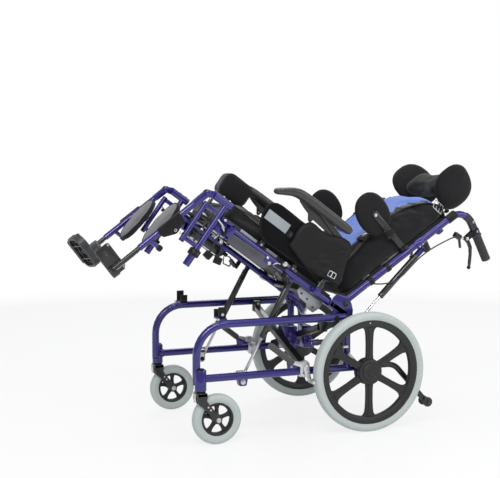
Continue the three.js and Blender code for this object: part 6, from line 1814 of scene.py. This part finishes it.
# Shoulder straps. Flat black webbing with a quilted grey patch lies over the back cushion, goes over
# its top and is sewn down behind the board; a bright wire ladder-lock sets its length.

webbing_black = cloth_finish("black_webbing", (0.006, 0.006, 0.007), (0.03, 0.03, 0.032), 900, 0.15, 0.9, 0.6)
patch_grey = cloth_finish("quilted_grey_patch", (0.02, 0.02, 0.022), (0.07, 0.07, 0.075), 500, 0.3, 0.7, 0.5)


def webbing(path, width, thick, finish):
    """A flat woven strap: a grid laid along a path, given its thickness and rounded edges."""
    rows = 5
    deselect()
    bpy.ops.mesh.primitive_grid_add(x_subdivisions=len(path) - 1, y_subdivisions=rows - 1, size=2)
    made = bpy.context.object
    columns = sorted({round(v.co.x, 4) for v in made.data.vertices})
    lanes = sorted({round(v.co.y, 4) for v in made.data.vertices})
    for vertex in made.data.vertices:
        i, j = columns.index(round(vertex.co.x, 4)), lanes.index(round(vertex.co.y, 4))
        vertex.co = path[i] + Vector(OUT) * width * (j / (rows - 1) - 0.5)
    modified(made, "SOLIDIFY", thickness=thick, offset=0)
    edit_all()
    faces_out()
    soften(made, thick * 0.3, 2, 50)
    made.data.materials.append(finish)
    cloth_map(made)
    return made


def even(path, step):
    """The same line with points at even steps, softly rounded."""
    line = [path[0]]
    for a, b in zip(path, path[1:]):
        count = max(1, round((b - a).length / step))
        line += [a.lerp(b, k / count) for k in range(1, count + 1)]
    for turn in range(3):
        line = [line[0]] + [(a + b * 2 + c) / 4 for a, b, c in zip(line, line[1:], line[2:])] + [line[-1]]
    return line


cover = bpy.data.objects["back_cushion_cover"]
down_back = (back.to_3x3() @ Vector(DOWN)).normalized()
CLEAR = 0.003  # how far a strap's middle lies off the cover, in metres
for side in (1, -1):
    front = [back @ Vector((-160, side * (118 + (t - 330) * 0.27), t)) for t in range(330, 492, 14)]
    front = cast_onto(cover, front, -back_out, CLEAR)
    over = [back @ Vector((-f, side * (178 - f * 0.2), 640)) for f in (80, 66, 52, 38)]
    over = cast_onto(cover, over, down_back, CLEAR)
    behind = [back @ Vector((x, side * y, t)) for x, y, t in ((-14, 166, 502), (4, 168, 490), (6.5, 168, 474),
            (6.5, 168, 430))]
    strap = webbing(even(front + over + behind, 0.009), 0.038, 0.0016, webbing_black)
    quilt = webbing([p + back_out * 0.0022 for p in even(front[3:11], 0.006)], 0.046, 0.004, patch_grey)
    parts = [strap, quilt]
    for k in (4, 7, 10):  # bands sewn across the patch
        spot = front[k] + back_out * 0.006
        parts.append(webbing([spot + down_back * d for d in (-0.004, -0.001, 0.002, 0.005)], 0.05, 0.0012,
                webbing_black))
    along = (over[3] - over[1]).normalized()
    start, goal = back @ Vector((-50, side * 236, 566)), back @ Vector((-50, side * 168, 478))
    hit, middle, facing, index = cover.ray_cast(start, (goal - start).normalized())  # the corner it lies on
    along = (along - facing * along.dot(facing)).normalized()
    across = along.cross(facing)
    middle = middle + facing * 0.009
    half_across, half_along, wire_radius = across * 0.0235, along * 0.019, 0.0017
    ring = [middle + half_across * a + half_along * b for a, b in ((1, 1), (1, -1), (-1, -1), (-1, 1))]
    parts.append(tube(ring, wire_radius, steel, bend=0.003, closed=True, round_sides=4))
    for share in (-0.3, 0.35):
        spot = middle + half_along * share
        parts.append(tube([spot + half_across, spot - half_across], wire_radius, steel, round_sides=4))
    name = ("right" if side > 0 else "left") + "_shoulder_strap"
    belongs(placed(parts, name, Matrix.Identity(4), 40), "back")


# Lap belt. Two lengths of black webbing come out between seat and back and lie up the cushion's rolls;
# each ends in a moulded buckle.

for side in (1, -1):
    lane = side * 172
    lying = [back @ Vector((-170, lane - side * k * 3, 96 + 13 * k)) for k in range(10)]
    lying = cast_onto(cover, lying, -back_out, CLEAR)
    belt = webbing(even(lying, 0.008), 0.038, 0.0018, webbing_black)
    tip = lying[-1] + back_out * 0.005
    turn = Matrix.Translation(tip) @ back.to_3x3().normalized().to_4x4() @ Matrix.Scale(MM, 4)
    lock = joined([
        block(-6, 5, -24, 24, -22, 20, plastic, 3),
        block(-8, -5, -15, 15, -12, 12, satin, 2),
        block(-4, 3, -17, 17, 18, 34, steel, 2),
    ])
    lock.data.transform(turn)
    name = ("right" if side > 0 else "left") + "_lap_belt"
    belongs(placed(joined([belt, lock]), name, Matrix.Identity(4), 40), "back")


# Arm guards. Loose black fabric pads hang outside the side panels, from a strap over each armrest
# post; their lower rear corner is creased and a little shiny.

# a darker copy of the black cover fabric: its extra darkness is painted shade, while the satin gloss is its own
shaded_guard_cloth = cloth_finish("satin_black_fabric_painted_shade", (0.002, 0.002, 0.003), (0.006, 0.006, 0.007), 900, 0.06, 0.3, 0.46)
shaded_guard_cloth.node_tree.nodes["Principled BSDF"].inputs["Specular IOR Level"].default_value = 0.28
GUARD = [(296, 114), (301, 162), (288, 200), (262, 214), (210, 214), (176, 224), (148, 236), (112, 239), (86, 224),
        (76, 180),
        (62, 134), (52, 104), (66, 84), (104, 78), (140, 72), (190, 68), (246, 80), (296, 98)]
GUARD_SHARES = [((s - 52) / 249, (h - 68) / 171) for s, h in GUARD]
ring = smooth_ring(GUARD_SHARES, 52, 249, 68, 171, inset=4)
guard = pad_form(ring, 247, 255, upright, shaded_guard_cloth,
        [(0.96, 0), (0.985, 0.1), (1, 0.3), (1, 0.6), (0.985, 0.85), (0.94, 1), (0.5, 1.1)])
placed(guard, "guard", seat, 60)
stuffed(guard, 0.0045, 3, 0.004)


def wrinkled(piece, size, height, seed, stretch, share_at):
    """Soft uneven waves of a loosely filled cover."""
    shift = Vector((seed, seed * 1.7, seed * 0.6))
    normals = [vertex.normal.copy() for vertex in piece.data.vertices]
    for vertex, normal in zip(piece.data.vertices, normals):
        spot = Vector((vertex.co.x * stretch[0], vertex.co.y * stretch[1], vertex.co.z * stretch[2])) / size + shift
        share = share_at(vertex.co)
        if share:
            vertex.co += normal * height * share * noise.fractal(spot, 0.9, 2.1, 3)


def creased(co):
    """How creased the outer skin is at a place: most in two folds at the rear."""
    spot = to_seat @ co
    if spot.y < 250:
        return 0.0
    low_fold = ((spot.x + 140) / 80) ** 2 + ((spot.z - 108) / 50) ** 2
    high_fold = ((spot.x + 112) / 50) ** 2 + ((spot.z - 200) / 48) ** 2
    return max(0.12, 1 - min(low_fold, high_fold))


wrinkled(guard, 0.04, 0.008, 3.0, (1, 1, 2.2), creased)
guard.data.update()
cloth_map(guard)
rim = [seat @ Vector((-s, 252, h)) for s, h in smooth_ring(GUARD_SHARES, 50, 253, 66, 175)]
welt = welt_on(on_surface(guard, rim), 0.0018, black_welt)
tie = joined([
    block(-124, -100, 244, 250, 150, 172, plastic, 2),
    block(-136, -106, 254, 260, 192, 214, plastic, 2, 25),
    tube([(-120, 259, 96), (-122, 259, 114), (-94, 259, 118), (-92, 259, 100)], 1.8, steel, bend=3, closed=True,
         round_sides=4),
    tube([(-107, 259, 98), (-108, 259, 116)], 1.8, steel, round_sides=4),
    block(-232, -206, 240, 249, 120, 146, plastic, 2),
])
tie.data.transform(seat)
both = joined([guard, welt, tie])
both.data.transform(to_seat)
both_sides(both, "arm_guard", seat, "seat", None, 60)
